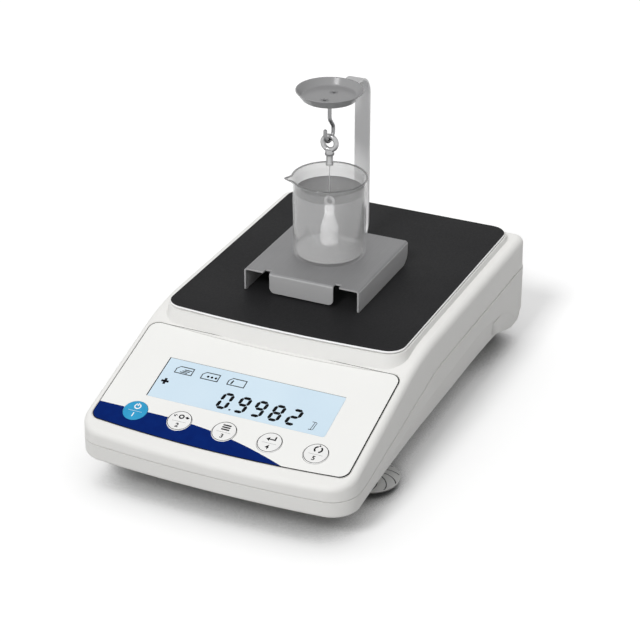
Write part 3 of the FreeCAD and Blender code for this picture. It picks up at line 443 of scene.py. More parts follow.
# %% Display ground
lcd_blue, lcd_tree, lcd_shader = new_finish("lcd_blue", Roughness=0.32, Coat_Weight=0.3,
                                            Coat_Roughness=0.08)
lcd_drift = noise(lcd_tree, 22, 1.0)
lcd_tree.links.new(colours(lcd_tree, lcd_drift, (0.595, 0.745, 0.86), (0.64, 0.785, 0.89)),
                   lcd_shader.inputs["Base Color"])
dress(lcd_blue, "display_window")
print("display window in mm:", [round(v / MM, 1) for v in window_high - window_low])

# %% [markdown]
# The hand wheels of the front feet are moulded in clear plastic, blasted to a pale haze; the
# faces that look sideways are painted grey, a painted shade that outlines the wheel's rim. Curved
# grooves run out from the hub, and the shade in them is painted as dark lines. A line is a thin
# strip laid on its groove's floor, which falls outwards with the wheel's cone: each radius r has
# its own angle, the arc cosine of (r^2 + c^2 - b^2) / 2rc for a bend of radius b whose middle
# lies c from the hub.

# %% Hand wheels
wheel_clear, wheel_tree, wheel_shader = new_finish("wheel_clear", Alpha=0.9, Coat_Weight=0.3,
                                                   Coat_Roughness=0.15, Metallic=0.3)
wheel_drift = noise(wheel_tree, 60, 2.0)
wheel_tree.links.new(colours(wheel_tree, wheel_drift, (0.86, 0.86, 0.85), (0.93, 0.93, 0.92)),
                     wheel_shader.inputs["Base Color"])
wheel_tree.links.new(spread(wheel_tree, wheel_drift, 0.3, 0.42), wheel_shader.inputs["Roughness"])
relief(wheel_tree, wheel_shader, wheel_drift, 0.01 * MM, edge=0.15 * MM)
# Sideways faces painted dark grey: painted shade that outlines the rim.
paint_light_by_facing(wheel_clear, (0.22, 0.22, 0.218))
dress(wheel_clear, "levelling_wheel_left", "levelling_wheel_right")

# Dark strips laid in the grooves: painted shade.
groove_shade = grained("groove_shade", (0.03, 0.03, 0.03), (0.05, 0.05, 0.049), (0.5, 0.6), 200, 3000,
                      0.002 * MM)
GROOVES, GROOVE_TURN, GROOVE_BEND, GROOVE_MIDDLE = 11, -36.8, 12.0, 11.8
GROOVE_INNER, GROOVE_OUTER, GROOVE_DEPTH = 8.2, 20.3, 0.5
LINE_WIDTH, LINE_THICK, LINE_LIFT, LINE_STEPS = 0.62, 0.04, 0.01, 24
HUB_RADIUS, HUB_HEIGHT, CONE_FALL = 7.5, 5.5, 0.1449

reach = np.linspace(GROOVE_INNER, GROOVE_OUTER, LINE_STEPS)
bow = np.arccos((reach ** 2 + GROOVE_MIDDLE ** 2 - GROOVE_BEND ** 2) / (2 * reach * GROOVE_MIDDLE))
start = np.radians(GROOVE_TURN) + np.arange(GROOVES) * 2 * np.pi / GROOVES
angle = start[:, None] + bow[None, :]
path = np.stack([reach * np.cos(angle), reach * np.sin(angle),
                 np.broadcast_to(HUB_HEIGHT - (reach - HUB_RADIUS) * CONE_FALL, angle.shape)], -1)
along = np.gradient(path, axis=1)
along /= np.linalg.norm(along, axis=2, keepdims=True)
across = np.stack([-along[..., 1], along[..., 0], np.zeros(angle.shape)], -1)
across /= np.linalg.norm(across, axis=2, keepdims=True)
side = across * LINE_WIDTH / 2
low = np.array([0, 0, LINE_LIFT - GROOVE_DEPTH])
high = low + (0, 0, LINE_THICK)
strip = np.stack([path + side + low, path + side + high, path - side + high, path - side + low], 2)
strip[:, 0], strip[:, -1] = path[:, :1] + low, path[:, -1:] + low
for side_name in ("left", "right"):
    wheel_low, wheel_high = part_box("levelling_wheel_" + side_name)
    hub = np.array([(wheel_low.x + wheel_high.x) / 2, (wheel_low.y + wheel_high.y) / 2, wheel_low.z])
    lines = surface("wheel_groove_shade_" + side_name, hub + strip * MM, sharp=60)
    lines.data.materials.append(groove_shade)
    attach(lines, "foot_wheel_" + side_name)
print("grooves on each wheel:", GROOVES)

# %% [markdown]
# Glass and liquid are made see-through by alpha, not by bending light: the photograph shows what
# lies behind them straight, only greyer. Seen edge on, a glass wall looks denser, so its alpha
# follows the angle at which it is seen, and so does its colour, as painted light: the beaker's
# paler edges are painted highlights, the ferrule's dark edges painted shade. The thick rim is
# painted darkest of all, a painted shade, and the foot is painted pale and nearly clear, so that
# no shade shows at its rounding. The liquid's far wall, seen from inside, turns more of the light
# away, so there it is painted a denser mid grey, and the sinker's ring stands bright before it.
# The sinker is milky glass, which scatters the light that comes in from above: a faint glow of its
# own, a painted light, stands for that, in it and in its band, where the stronger glow is a painted
# highlight. Light on its way to the sinker passes almost freely, or the sinker would stand in the
# shadow of its own beaker.

# %% Glass and liquid
GLASS_ROUGH, GLASS_CLOUD, CLOUD_PALER = (0.08, 0.12), 45, 1.06
PASSED_LIGHT = (0.99, 0.99, 0.99)


def see_through(name, face, edge, face_alpha, edge_alpha, bend=0.35, coat=0.5):
    """Finish seen face on as one colour and alpha, and edge on as the other; the edge colour is painted
    light, paler as a highlight, darker as shade.
    """
    material, tree, shader = new_finish(name, Coat_Weight=coat, Coat_Roughness=0.04)
    facing = tree.nodes.new("ShaderNodeLayerWeight")
    facing.inputs["Blend"].default_value = bend
    cloud = noise(tree, GLASS_CLOUD)
    tint = tree.nodes.new("ShaderNodeMix")
    tint.data_type = "RGBA"
    tree.links.new(facing.outputs["Facing"], tint.inputs["Factor"])
    pale = tuple(min(1.0, c * CLOUD_PALER) for c in face)
    tree.links.new(colours(tree, cloud, face, pale), tint.inputs["A"])
    tint.inputs["B"].default_value = (*edge, 1.0)
    tree.links.new(tint.outputs["Result"], shader.inputs["Base Color"])
    tree.links.new(spread(tree, facing.outputs["Facing"], face_alpha, edge_alpha, 0.0, 1.0),
                   shader.inputs["Alpha"])
    tree.links.new(spread(tree, cloud, *GLASS_ROUGH), shader.inputs["Roughness"])
    path = tree.nodes.new("ShaderNodeLightPath")
    either = tree.nodes.new("ShaderNodeMath")
    either.operation = "MAXIMUM"
    tree.links.new(path.outputs["Is Shadow Ray"], either.inputs[0])
    tree.links.new(path.outputs["Is Diffuse Ray"], either.inputs[1])
    clear = tree.nodes.new("ShaderNodeBsdfTransparent")
    clear.inputs["Color"].default_value = (*PASSED_LIGHT, 1.0)
    choose = tree.nodes.new("ShaderNodeMixShader")
    tree.links.new(either.outputs["Value"], choose.inputs["Fac"])
    tree.links.new(shader.outputs["BSDF"], choose.inputs[1])
    tree.links.new(clear.outputs["BSDF"], choose.inputs[2])
    tree.links.new(choose.outputs["Shader"], tree.nodes["Material Output"].inputs["Surface"])
    return material


def blend_numbers(tree, factor, first, second):
    """First at factor 0, second at 1; each is a number or another node's output."""
    node = tree.nodes.new("ShaderNodeMapRange")
    tree.links.new(factor, node.inputs["Value"])
    for socket, value in (("To Min", first), ("To Max", second)):
        if isinstance(value, float):
            node.inputs[socket].default_value = value
        else:
            tree.links.new(value, node.inputs[socket])
    return node.outputs["Result"]


def far_wall(material, grey, alpha):
    """Give the surface another grey and alpha where it is seen from inside."""
    tree = material.node_tree
    shader = tree.nodes["Principled BSDF"]
    facing = tree.nodes.new("ShaderNodeNewGeometry")
    inside = facing.outputs["Backfacing"]
    tint = tree.nodes.new("ShaderNodeMix")
    tint.data_type = "RGBA"
    tree.links.new(inside, tint.inputs["Factor"])
    tree.links.new(shader.inputs["Base Color"].links[0].from_socket, tint.inputs["A"])
    tint.inputs["B"].default_value = (grey, grey, grey, 1.0)
    tree.links.new(tint.outputs["Result"], shader.inputs["Base Color"])
    tree.links.new(blend_numbers(tree, inside, shader.inputs["Alpha"].links[0].from_socket, alpha),
                   shader.inputs["Alpha"])


# Paler edge colour: painted highlight streaks along the glass walls.
beaker_glass = see_through("beaker_glass", (0.46, 0.46, 0.46), (0.66, 0.66, 0.66), 0.26, 0.55)
# Near black rim: painted shade.
rim_glass = see_through("rim_glass", (0.12, 0.12, 0.12), (0.12, 0.12, 0.12), 0.72, 0.85, coat=0.2)
# Pale, nearly clear foot: painted light that keeps shade off its rounding.
base_glass = see_through("base_glass", (0.8, 0.8, 0.8), (0.9, 0.9, 0.9), 0.1, 0.3, coat=0.2)
liquid_side = see_through("liquid_side", (0.96, 0.96, 0.96), (0.92, 0.92, 0.92), 0.28, 0.34, coat=0.0)
far_wall(liquid_side, 0.5, 0.75)
# Liquid top painted near black: painted shade.
liquid_skin = see_through("liquid_skin", (0.025, 0.025, 0.026), (0.04, 0.04, 0.041), 0.5, 0.56,
                          coat=0.1)
sinker_glass = see_through("sinker_glass", (0.97, 0.97, 0.97), (0.92, 0.92, 0.92), 0.8, 1.0)
# Dark edge colour: painted shade along the ferrule's sides.
ferrule_clear = see_through("ferrule_clear", (0.97, 0.97, 0.97), (0.10, 0.10, 0.10), 0.7, 0.95,
                            bend=0.8)
# Emission on the sinker and its band: painted light, and on the band a painted highlight.
for glowing_finish, painted_glow in ((sinker_glass, 0.3), (band_white, 0.7)):
    glowing_shader = glowing_finish.node_tree.nodes["Principled BSDF"]
    glowing_shader.inputs["Emission Color"].default_value = (1.0, 1.0, 1.0, 1.0)
    glowing_shader.inputs["Emission Strength"].default_value = painted_glow
dress(sinker_glass, "sinker")
dress(ferrule_clear, "hanger_ferrule")
print("solid pieces left, to be drawn again:", sorted(set(nodes) - dressed))

# %% [markdown]
# The beaker is drawn as one closed profile, out along the base, up the outside, over the fire
# polished rim and down the inside, and swept round. Its long straight runs are cut into steps, so
# that the faces stay near square. The spout is a pull on that surface: near one angle and near the
# rim, every point moves outwards by a bell curve of the angle times an easing of the height. The
# faces of the rim and of the foot then take their own glass.

# %% Beaker
BEAKER_RADIUS, BEAKER_WALL, BEAKER_FLOOR = 26.3, 1.2, 1.6
BEAKER_HEIGHT, RIM_RADIUS, BEAD_RADIUS = 60.0, 27.5, 0.8
SPOUT_ANGLE, SPOUT_REACH, SPOUT_SPREAD, SPOUT_DEPTH = 211.0, 5.6, 6.8, 5.5
ARC_STEPS, LONG_RUN, RUN_STEPS = 12, 8, 12
RIM_BAND, BASE_BAND = 0.75, 3.2
beaker_low, beaker_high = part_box("beaker")
beaker_foot = (kit_axis.x, kit_axis.y, beaker_low.z)


def pulled_spout(points):
    """Each point moves out by reach times exp(-(angle off / spread)^2) times an eased height."""
    x, y = points[..., 0] - kit_axis.x, points[..., 1] - kit_axis.y
    radius, angle = np.hypot(x, y), np.arctan2(y, x)
    off = (angle - math.radians(SPOUT_ANGLE) + np.pi) % (2 * np.pi) - np.pi
    height = (points[..., 2] - beaker_low.z) / MM
    rise = np.clip((height - BEAKER_HEIGHT + SPOUT_DEPTH) / SPOUT_DEPTH, 0, 1) ** 2
    bell = np.exp(-(np.degrees(off) / SPOUT_SPREAD) ** 2)
    grow = 1 + SPOUT_REACH * MM * bell * rise / np.maximum(radius, MM)
    moved = points.copy()
    moved[..., 0] = kit_axis.x + x * grow
    moved[..., 1] = kit_axis.y + y * grow
    return moved


outer_line = eased([(0, 0, 0), (BEAKER_RADIUS, 0, 2.6), (BEAKER_RADIUS, BEAKER_HEIGHT - 4, 6.0),
                    (RIM_RADIUS, BEAKER_HEIGHT - 0.7, 0)], ARC_STEPS)
bead = np.linspace(-0.2, np.pi, 10)
rim_line = np.stack([RIM_RADIUS - 0.7 + BEAD_RADIUS * np.cos(bead),
                     BEAKER_HEIGHT - BEAD_RADIUS + BEAD_RADIUS * np.sin(bead)], 1)
inner_line = eased([(RIM_RADIUS - 1.5, BEAKER_HEIGHT - 0.9, 0),
                    (BEAKER_RADIUS - BEAKER_WALL, BEAKER_HEIGHT - 4.5, 5.0),
                    (BEAKER_RADIUS - BEAKER_WALL, BEAKER_FLOOR, 3.0), (0, BEAKER_FLOOR, 0)], ARC_STEPS)
wall_profile = np.concatenate([outer_line, rim_line, inner_line])
runs = np.diff(wall_profile, axis=0)
share = np.linspace(0, 1, RUN_STEPS)[1:-1, None]
profile_parts = []
start = 0
for run in np.flatnonzero(np.hypot(*runs.T) > LONG_RUN):
    profile_parts += [wall_profile[start:run + 1], wall_profile[run] + share * runs[run]]
    start = run + 1
wall_profile = np.concatenate(profile_parts + [wall_profile[start:]])

beaker = turned("beaker_glass", wall_profile, beaker_foot, steps=192, sharp=60)
co = np.empty(len(beaker.data.vertices) * 3)
beaker.data.vertices.foreach_get("co", co)
beaker.data.vertices.foreach_set("co", pulled_spout(co.reshape(-1, 3)).ravel())
for glass in (beaker_glass, rim_glass, base_glass):
    beaker.data.materials.append(glass)
heights = np.array([face.center.z for face in beaker.data.polygons])
in_rim = heights > beaker_high.z - RIM_BAND * MM
in_base = heights < beaker_low.z + BASE_BAND * MM
beaker.data.polygons.foreach_set("material_index", (in_rim + 2 * in_base).astype(np.int32))
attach(beaker, "beaker")
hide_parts("beaker")
print("beaker faces:", len(beaker.data.polygons))

# %% [markdown]
# The liquid fills the beaker to about four fifths. It is one closed body: its side and foot
# follow the inside of the glass a hair away, and its top is flat in the middle and climbs the
# glass by a millimetre at its rim, a climb that dies away as e to the power of minus the distance
# over its reach. The top is painted darker than the side, a painted shade, so its faces take a
# finish of their own.

# %% Liquid
LIQUID_LEVEL, MENISCUS_HEIGHT, MENISCUS_REACH = 48.1, 1.1, 1.6
LIQUID_GAP = 0.06
LIQUID_RADIUS = BEAKER_RADIUS - BEAKER_WALL - LIQUID_GAP
reach = np.linspace(LIQUID_RADIUS, 0, 40)
climb = MENISCUS_HEIGHT * np.exp(-(LIQUID_RADIUS - reach) / MENISCUS_REACH)
side_line = eased([(0, BEAKER_FLOOR + LIQUID_GAP, 0), (LIQUID_RADIUS, BEAKER_FLOOR + LIQUID_GAP, 2.4),
                   (LIQUID_RADIUS, LIQUID_LEVEL, 0)], ARC_STEPS)
liquid_line = np.concatenate([side_line, np.stack([reach, LIQUID_LEVEL + climb], 1)])
liquid = turned("liquid", liquid_line, beaker_foot, steps=128, sharp=50)
liquid.data.materials.append(liquid_side)
liquid.data.materials.append(liquid_skin)
looks_up = np.array([face.normal.z > 0.5 for face in liquid.data.polygons])
liquid.data.polygons.foreach_set("material_index", looks_up.astype(np.int32))
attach(liquid, "beaker")
print("liquid level above the beaker's foot in mm:", LIQUID_LEVEL)

# %% [markdown]
# Ink on the film, the keys and the display is made as real thin shapes, so its edges stay crisp
# however close the view, and so are the thin dark lines of painted shade drawn like ink. A shape is
# one or more closed loops in the panel's own plane, in mm, and a loop inside another is a hole. A
# flat curve fills them, is made a mesh, and only then is laid on the slope.

# %% Helpers that make ink
INK, INK_SHARP = 0.03, 30


def lay_ink(name, curve, shift, ink, body):
    """Make a flat curve a mesh, shift it by (u, v, lift), lay it on the slope and let it ride."""
    maker = bpy.data.objects.new(name + "_maker", curve)
    mesh = bpy.data.meshes.new_from_object(maker)
    bpy.data.objects.remove(maker)
    flat = np.empty(len(mesh.vertices) * 3)
    mesh.vertices.foreach_get("co", flat)
    mesh.vertices.foreach_set("co", panel_points(flat.reshape(-1, 3) + shift).ravel())
    piece = tidy(bpy.data.objects.new(name, mesh), INK_SHARP)
    piece.data.materials.clear()
    piece.data.materials.append(ink)
    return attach(piece, body)


def ink_shape(name, loops, lift, ink, body):
    """Ink of the ink's thickness, filled between closed loops of (u, v) in mm."""
    curve = bpy.data.curves.new(name, "CURVE")
    curve.dimensions = "2D"
    curve.extrude = INK / 2
    curve.fill_mode = "BOTH"
    for loop in loops:
        loop = np.asarray(loop, float)
        spline = curve.splines.new("POLY")
        spline.points.add(len(loop) - 1)
        flat = np.zeros((len(loop), 4))
        flat[:, :2] = loop
        spline.points.foreach_set("co", flat.ravel())
        spline.use_cyclic_u = True
    return lay_ink(name, curve, (0, 0, lift), ink, body)


def disc(middle, radius, steps=64):
    """Points at middle + radius (cos a, sin a)."""
    a = np.linspace(0, 2 * np.pi, steps, endpoint=False)
    return np.asarray(middle) + radius * np.stack([np.cos(a), np.sin(a)], 1)


def band(middle, radius, width, first, last, steps=40):
    """Arc of that width: out along radius + width/2, back along radius - width/2."""
    a = np.radians(np.linspace(first, last, steps))
    ring = np.stack([np.cos(a), np.sin(a)], 1)
    return np.asarray(middle) + np.concatenate([ring * (radius + width / 2),
                                                ring[::-1] * (radius - width / 2)])


def bar(start, end, width):
    """Rectangle of that width round the line from start to end."""
    start, end = np.asarray(start, float), np.asarray(end, float)
    along = (end - start) / np.linalg.norm(end - start)
    side = np.array([-along[1], along[0]]) * width / 2
    return np.array([start + side, start - side, end - side, end + side])


def ink_plain(name, first, second, rough=(0.45, 0.6)):
    """Finish that hardly shines, for ink and for painted shade drawn like ink, a little uneven between
    two close colours.
    """
    return grained(name, first, second, rough, 200, 4000, 0.002 * MM, Specular_IOR_Level=0.03)


ink_navy = ink_plain("ink_navy", (0.0008, 0.014, 0.130), (0.001, 0.018, 0.152), (0.4, 0.5))
ink_and_shade_black = ink_plain("ink_and_shade_black", (0.004, 0.004, 0.005), (0.008, 0.008, 0.009))
ink_and_shade_grey = ink_plain("ink_and_shade_grey", (0.17, 0.17, 0.17), (0.22, 0.22, 0.22))
ink_white = ink_plain("ink_white", (0.86, 0.88, 0.90), (0.92, 0.94, 0.95))
print("inks:", [ink.name for ink in (ink_navy, ink_and_shade_black, ink_and_shade_grey, ink_white)])

# %% [markdown]
# A dark blue field sweeps along the foot of the film. Its lower edge is the film's own: a long
# bow with a round corner. Its upper edge is level at first and then falls away as a parabola
# until the two meet. Round each key the field stops at the key's gap. The film lies in a shallow
# step of the case, and the shade in that step draws a thin line round it, a little wider to the
# right and below. The line's outline is the convex hull of the film's own points.

# %% Blue field at the foot of the film
FILM_HALF, FILM_LOW, FILM_CORNER, FILM_BOW = 95.9, -52.8, 7.0, 1000.0
FIELD_TOP, FIELD_TURN, FIELD_FALL = -33.0, -50.0, 0.00178
FIELD_END, FIELD_STEPS, FIELD_THIN = 60, 900, 0.02
KEY_OPENING = 9.0
KEYS = ["key_power", "key_zero", "key_mode", "key_enter", "key_print"]
key_places = {name: panel_place(name) for name in KEYS}


def film_foot(u):
    """Lowest v of the film at u: the bow, and the corner's arc near the left side."""
    v = FILM_LOW + FILM_BOW - np.sqrt(FILM_BOW ** 2 - u ** 2)
    corner_u = FILM_CORNER - FILM_HALF
    corner_v = FILM_LOW + FILM_BOW - math.sqrt((FILM_BOW - FILM_CORNER) ** 2 - corner_u ** 2)
    inside = np.clip(FILM_CORNER ** 2 - (u - corner_u) ** 2, 0, None)
    return np.where(u < corner_u, corner_v - np.sqrt(inside), v)


def field_head(u):
    """Highest v of the field at u, cut back to the lower half of each key's opening."""
    v = FIELD_TOP - FIELD_FALL * np.clip(u - FIELD_TURN, 0, None) ** 2
    for middle in key_places.values():
        inside = KEY_OPENING ** 2 - (u - middle[0]) ** 2
        cut = middle[1] - np.sqrt(np.clip(inside, 0, None))
        v = np.where(inside > 0, np.minimum(v, cut), v)
    return v


u = np.linspace(-FILM_HALF, FIELD_END, FIELD_STEPS)
u = u[field_head(u) > film_foot(u) + FIELD_THIN]
field = np.concatenate([np.stack([u, film_foot(u)], 1), np.stack([u, field_head(u)], 1)[::-1]])
ink_shape("blue_field", [field], 0.0, ink_navy, "case")
print("blue field runs to u =", round(u[-1], 1), "mm")

SKIN_DEPTH = 0.02
GROOVE_LINE, GROOVE_SHIFT, GROOVE_LIFT = 0.6, (-0.3, 0.2), 0.012
film_mesh = nodes["panel_overlay"].data
film_points = np.empty(len(film_mesh.vertices) * 3)
film_mesh.vertices.foreach_get("co", film_points)
away = film_points.reshape(-1, 3) - panel_middle
on_top = away[away @ panel_normal > -SKIN_DEPTH * MM]
flat = np.stack([on_top @ panel_right, on_top @ panel_up], 1) / MM
film_outline = flat[convex_hull_2d([tuple(p) for p in flat])]
half_size = np.abs(film_outline).max(axis=0)
groove_inside = film_outline * (1 - GROOVE_LINE / half_size) + GROOVE_SHIFT
ink_shape("film_groove", [film_outline, groove_inside], GROOVE_LIFT, ink_and_shade_black, "case")
print("film half size in mm:", half_size.round(1))

# %% [markdown]
# The number on the display is drawn with seven segments to a figure, each a bar with pointed
# ends, leaning six degrees. Which segments are lit is the classic table, a to f round the figure
# and g across its middle. Above the figures stand three small tabs, to the left a plus sign, to
# the right a bracket for the unit. Two thin lines along the window's edge are the shade of the
# film over it.

# %% Display figures
FIGURE_WIDTH, FIGURE_HEIGHT, SEGMENT, SEGMENT_GAP = 6.2, 13.0, 2.4, 0.18
FIGURE_BASE, FIGURE_LEAN = -14.6, math.tan(math.radians(6))
FIGURE_PLACES = [-12.2, 1.0, 13.6, 26.6, 39.4]
LIT = {"0": "abcdef", "2": "abged", "8": "abcdefg", "9": "abcdfg"}
GLASS_LIFT = 0.0
DOT_LEFT, DOT_RIGHT, DOT_DOWN, DOT_SIZE = -5.9, -4.6, 0.1, 1.3
half_w, half_h = FIGURE_WIDTH / 2, FIGURE_HEIGHT / 2
ENDS = {
    "a": ((-half_w, half_h), (half_w, half_h)), "b": ((half_w, half_h), (half_w, 0)),
    "c": ((half_w, 0), (half_w, -half_h)), "d": ((-half_w, -half_h), (half_w, -half_h)),
    "e": ((-half_w, 0), (-half_w, -half_h)), "f": ((-half_w, half_h), (-half_w, 0)),
    "g": ((-half_w, 0), (half_w, 0)),
}


def lean(loop):
    """Shear sideways: u + v tan(lean)."""
    loop = np.array(loop, float)
    loop[:, 0] += (loop[:, 1] - FIGURE_BASE) * FIGURE_LEAN
    return loop


def segment(start, end):
    """Six-sided bar whose points reach nearly to its neighbours'."""
    start, end = np.asarray(start, float), np.asarray(end, float)
    along = (end - start) / np.linalg.norm(end - start)
    side = np.array([-along[1], along[0]]) * SEGMENT / 2
    tip, point = along * SEGMENT_GAP, along * (SEGMENT_GAP + SEGMENT / 2)
    return np.array([start + tip, start + point + side, end - point + side, end - tip,
                     end - point - side, start + point - side])


figures = []
for place, figure in zip(FIGURE_PLACES, "09982"):
    middle = np.array([place, FIGURE_BASE + half_h])
    figures += [lean(segment(*ENDS[key]) + middle) for key in LIT[figure]]
dot_v = FIGURE_BASE - DOT_DOWN
figures.append(lean(bar((DOT_LEFT, dot_v), (DOT_RIGHT, dot_v), DOT_SIZE)))
arm, thick, plus_middle = 2.8, 0.95, (-60.4, -3.0)
plus = np.array([(-arm, -thick), (-thick, -thick), (-thick, -arm), (thick, -arm), (thick, -thick),
                 (arm, -thick), (arm, thick), (thick, thick), (thick, arm), (-thick, arm),
                 (-thick, thick), (-arm, thick)]) + plus_middle
figures.append(plus)
ink_shape("display_figures", figures, GLASS_LIFT, ink_and_shade_black, "case")


def tab(left, low, width=13.4, height=7.0, cut=2.6, line=0.72):
    """Outline of a card with its upper left corner cut off, and its hole."""
    outside = np.array([(0, 0), (width, 0), (width, height), (cut, height), (0, height - cut)])
    inside = np.array([(line, line), (width - line, line), (width - line, height - line),
                       (cut + 0.2, height - line), (line, height - cut - 0.2)])
    return [outside + (left, low), inside + (left, low)]


TAB_LOW = 6.3
WINDOW_HALF_U, WINDOW_HALF_V, SHADE_WIDTH = 67.0, 18.95, 0.7
marks = tab(-58.2, TAB_LOW) + tab(-38.1, TAB_LOW) + tab(-17.8, TAB_LOW)
marks += [bar((-54.2 + k, 8.0 + k), (-48.6 + k, 8.0 + k), 0.75) for k in (0, 1.3, 2.6)]
marks += [disc((-33.0 + k, 9.4), 0.95, 24) for k in (0, 3.0, 6.0)]
marks.append(bar((-14.9, 7.6), (-14.1, 11.2), 1.1))
marks += [bar((53.4, -15.2), (56.3, -15.2), 0.45), bar((53.8, -8.2), (57.0, -8.2), 0.45)]
marks += [bar((56.5, -14.9), (57.3, -8.5), 0.45), bar((55.0, -14.9), (55.8, -8.5), 0.45)]
ink_shape("display_marks", marks, GLASS_LIFT, ink_and_shade_black, "case")

shade_u, line_v = -WINDOW_HALF_U + SHADE_WIDTH / 2, WINDOW_HALF_V - 0.15
shade = bar((shade_u, -WINDOW_HALF_V), (shade_u, WINDOW_HALF_V), SHADE_WIDTH)
line = bar((-WINDOW_HALF_U + 0.8, line_v), (WINDOW_HALF_U, line_v), 0.3)
ink_shape("window_shade", [shade], GLASS_LIFT, ink_and_shade_black, "case")
ink_shape("window_line", [line], GLASS_LIFT, ink_and_shade_grey, "case")
print("display figures:", len(figures), "loops; marks:", len(marks))

# %% [markdown]
# Each key carries a small pictogram, a hairline and a plain number, and the white ones a thin dark
# ring near their edge, the painted shade of the gap round the key. The pictograms are made of the
# same few shapes: bars, arcs, discs and one arrow head. The keys stand a little proud of the film,
# so their ink is lifted by as much, and it rides on its own key, so it goes down with it when it is
# pressed.

# %% Keys
KEY_LIFT = 0.2
SIGN_SIZE = 1.2
RING_OUTER, RING_INNER, RING_STEPS = 8.5, 8.1, 96
HAIR_HALF, HAIR_DOWN, HAIR_WIDTH = 5.2, 0.9, 0.2
NUMBER_SIZE, NUMBER_WEIGHT, NUMBER_DOWN = 5.0, 0.14, 5.9


def arrow(tip, way, length=1.5, width=1.5):
    """Triangle whose point is at tip, looking along way."""
    tip, way = np.asarray(tip, float), np.asarray(way, float)
    side = np.array([-way[1], way[0]]) * width / 2
    return np.array([tip, tip - way * length + side, tip - way * length - side])


PICTOGRAMS = {
    "key_power": [band((0, 2.9), 1.75, 0.75, 115, 425), bar((0, 3.1), (0, 5.3), 0.75)],
    "key_zero": [disc((0, 3.0), 1.7, 40), disc((0, 3.0), 0.85, 40),
                 arrow((-2.2, 3.0), (1, 0), 1.6, 2.2), bar((-4.8, 3.0), (-3.7, 3.0), 0.7),
                 arrow((2.2, 3.0), (-1, 0), 1.6, 2.2), bar((3.7, 3.0), (4.8, 3.0), 0.7)],
    "key_mode": [bar((-2.5, 4.5), (2.5, 4.5), 0.95), bar((-2.5, 2.9), (2.5, 2.9), 0.95),
                 bar((-2.5, 1.3), (2.5, 1.3), 0.95)],
    "key_enter": [[(-2.9, 2.2), (-1.0, 3.7), (-1.0, 2.6), (1.9, 2.6), (1.9, 4.6), (2.8, 4.6),
                   (2.8, 1.8), (-1.0, 1.8), (-1.0, 0.7)]],
    "key_print": [band((-0.1, 3.0), 1.9, 1.0, 100, 240), band((0.5, 3.0), 1.9, 1.0, -80, 60),
                  arrow((1.1, 5.3), (0.94, -0.34), 1.3, 1.6)],
}
for number, name in enumerate(KEYS):
    middle = key_places[name]
    strong = ink_white if name == "key_power" else ink_and_shade_black
    faint = ink_white if name == "key_power" else ink_and_shade_grey
    ink_shape(name + "_sign", [np.asarray(loop) * SIGN_SIZE + middle for loop in PICTOGRAMS[name]],
              KEY_LIFT, strong, name)
    if name != "key_power":
        # Dark ring near the key's edge: painted shade of the gap round the key.
        ring = [disc(middle, RING_OUTER, RING_STEPS), disc(middle, RING_INNER, RING_STEPS)]
        ink_shape(name + "_ring", ring, KEY_LIFT, ink_and_shade_black, name)
    hair = bar(middle + (-HAIR_HALF, -HAIR_DOWN), middle + (HAIR_HALF, -HAIR_DOWN), HAIR_WIDTH)
    ink_shape(name + "_line", [hair], KEY_LIFT, faint, name)
    text = bpy.data.curves.new(name + "_number", "FONT")
    text.body = str(number + 1)
    text.size = NUMBER_SIZE
    text.offset = NUMBER_WEIGHT
    text.align_x = "CENTER"
    number_place = (middle[0], middle[1] - NUMBER_DOWN, KEY_LIFT + INK / 2)
    lay_ink(name + "_number", text, number_place, strong, name)
print("keys marked:", len(KEYS))

# %% [markdown]
# A studio for a pale object: a pale floor, a sky like a light tent that is brightest overhead and
# fades towards the horizon, and one soft lamp from the front, a little to the left. The tent keeps
# the shadow short and close under the case. The camera sees floor and sky as white, because their
# colour says so to camera, mirror and glass rays; the object itself is lit at a plain level. Close
# to the case the floor is made darker still, by how much of the sky each point of it misses.

# %% Floor, sky and lamps
WHITE_SEEN = 1.0
SKY_OVERHEAD, SKY_HORIZON = 0.95, 0.03
FLOOR_SEEN, FLOOR_BOUNCE, FLOOR_GLOW = 1.0, 0.48, 0.1
FLOOR_CONTACT, CONTACT_REACH = 0.2, 42 * MM
CONTACT_DARK, CONTACT_LIGHT = 0.32, 0.62
FLOOR_HALF = 6.0


def seen_rays(tree):
    """1 for camera, mirror and glass rays, 0 for the rays that light things."""
    path = tree.nodes.new("ShaderNodeLightPath")
    total = path.outputs["Is Camera Ray"]
    for kind in ("Is Glossy Ray", "Is Transmission Ray"):
        larger = tree.nodes.new("ShaderNodeMath")
        larger.operation = "MAXIMUM"
        tree.links.new(total, larger.inputs[0])
        tree.links.new(path.outputs[kind], larger.inputs[1])
        total = larger.outputs["Value"]
    return total


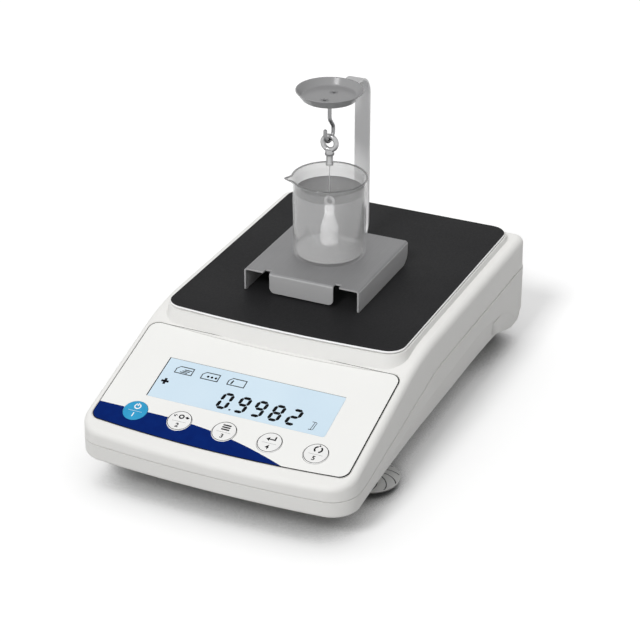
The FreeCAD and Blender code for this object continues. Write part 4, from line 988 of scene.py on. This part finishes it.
world = bpy.data.worlds.new("studio_sky")
world.use_nodes = True
scene.world = world
sky_tree = world.node_tree
sky = sky_tree.nodes["Background"]
sky.inputs["Color"].default_value = (1.0, 1.0, 1.0, 1.0)
way_up = sky_tree.nodes.new("ShaderNodeTexCoord")
height = sky_tree.nodes.new("ShaderNodeSeparateXYZ")
sky_tree.links.new(way_up.outputs["Generated"], height.inputs["Vector"])
tent = spread(sky_tree, height.outputs["Z"], SKY_HORIZON, SKY_OVERHEAD, 0.0, 1.0)
sky_strength = sky_tree.nodes.new("ShaderNodeMapRange")
sky_strength.inputs["To Max"].default_value = WHITE_SEEN
sky_tree.links.new(tent, sky_strength.inputs["To Min"])
sky_tree.links.new(seen_rays(sky_tree), sky_strength.inputs["Value"])
sky_tree.links.new(sky_strength.outputs["Result"], sky.inputs["Strength"])

floor_white, floor_tree, floor_shader = new_finish("floor_white", Roughness=0.9, Specular_IOR_Level=0.0)
floor_shader.inputs["Emission Color"].default_value = (1.0, 1.0, 1.0, 1.0)
floor_seen = seen_rays(floor_tree)
open_floor = floor_tree.nodes.new("ShaderNodeAmbientOcclusion")
open_floor.samples = 8
open_floor.inputs["Distance"].default_value = CONTACT_REACH
openness = spread(floor_tree, open_floor.outputs["AO"], 0.0, 1.0, CONTACT_DARK, CONTACT_LIGHT)
for socket, lights_with, dark_seen, light_seen in (
        ("Base Color", FLOOR_BOUNCE, FLOOR_CONTACT, FLOOR_SEEN),
        ("Emission Strength", 0.0, 0.0, FLOOR_GLOW)):
    seen = blend_numbers(floor_tree, openness, dark_seen, light_seen)
    floor_tree.links.new(blend_numbers(floor_tree, floor_seen, lights_with, seen),
                         floor_shader.inputs[socket])
corner = np.array([-FLOOR_HALF, FLOOR_HALF])
floor_grid = np.zeros((2, 2, 3))
floor_grid[..., 0] = corner[None, :]
floor_grid[..., 1] = corner[:, None]
floor = surface("studio_floor", floor_grid, close_columns=False)
floor.data.materials.append(floor_white)


def lamp(name, azimuth, elevation, spread_angle, strength):
    """Far soft lamp seen from the plate at that azimuth and elevation. Azimuth 0 is in front."""
    light = bpy.data.lights.new(name, "SUN")
    light.angle = math.radians(spread_angle)
    light.energy = strength
    a, e = math.radians(azimuth), math.radians(elevation)
    way = Vector((math.sin(a) * math.cos(e), -math.cos(a) * math.cos(e), math.sin(e)))
    holder = bpy.data.objects.new(name, light)
    holder.location = plate_middle + way
    holder.rotation_euler = way.to_track_quat("Z", "Y").to_euler()
    scene.collection.objects.link(holder)


lamp("main_lamp", azimuth=-6, elevation=43, spread_angle=15, strength=1.42)
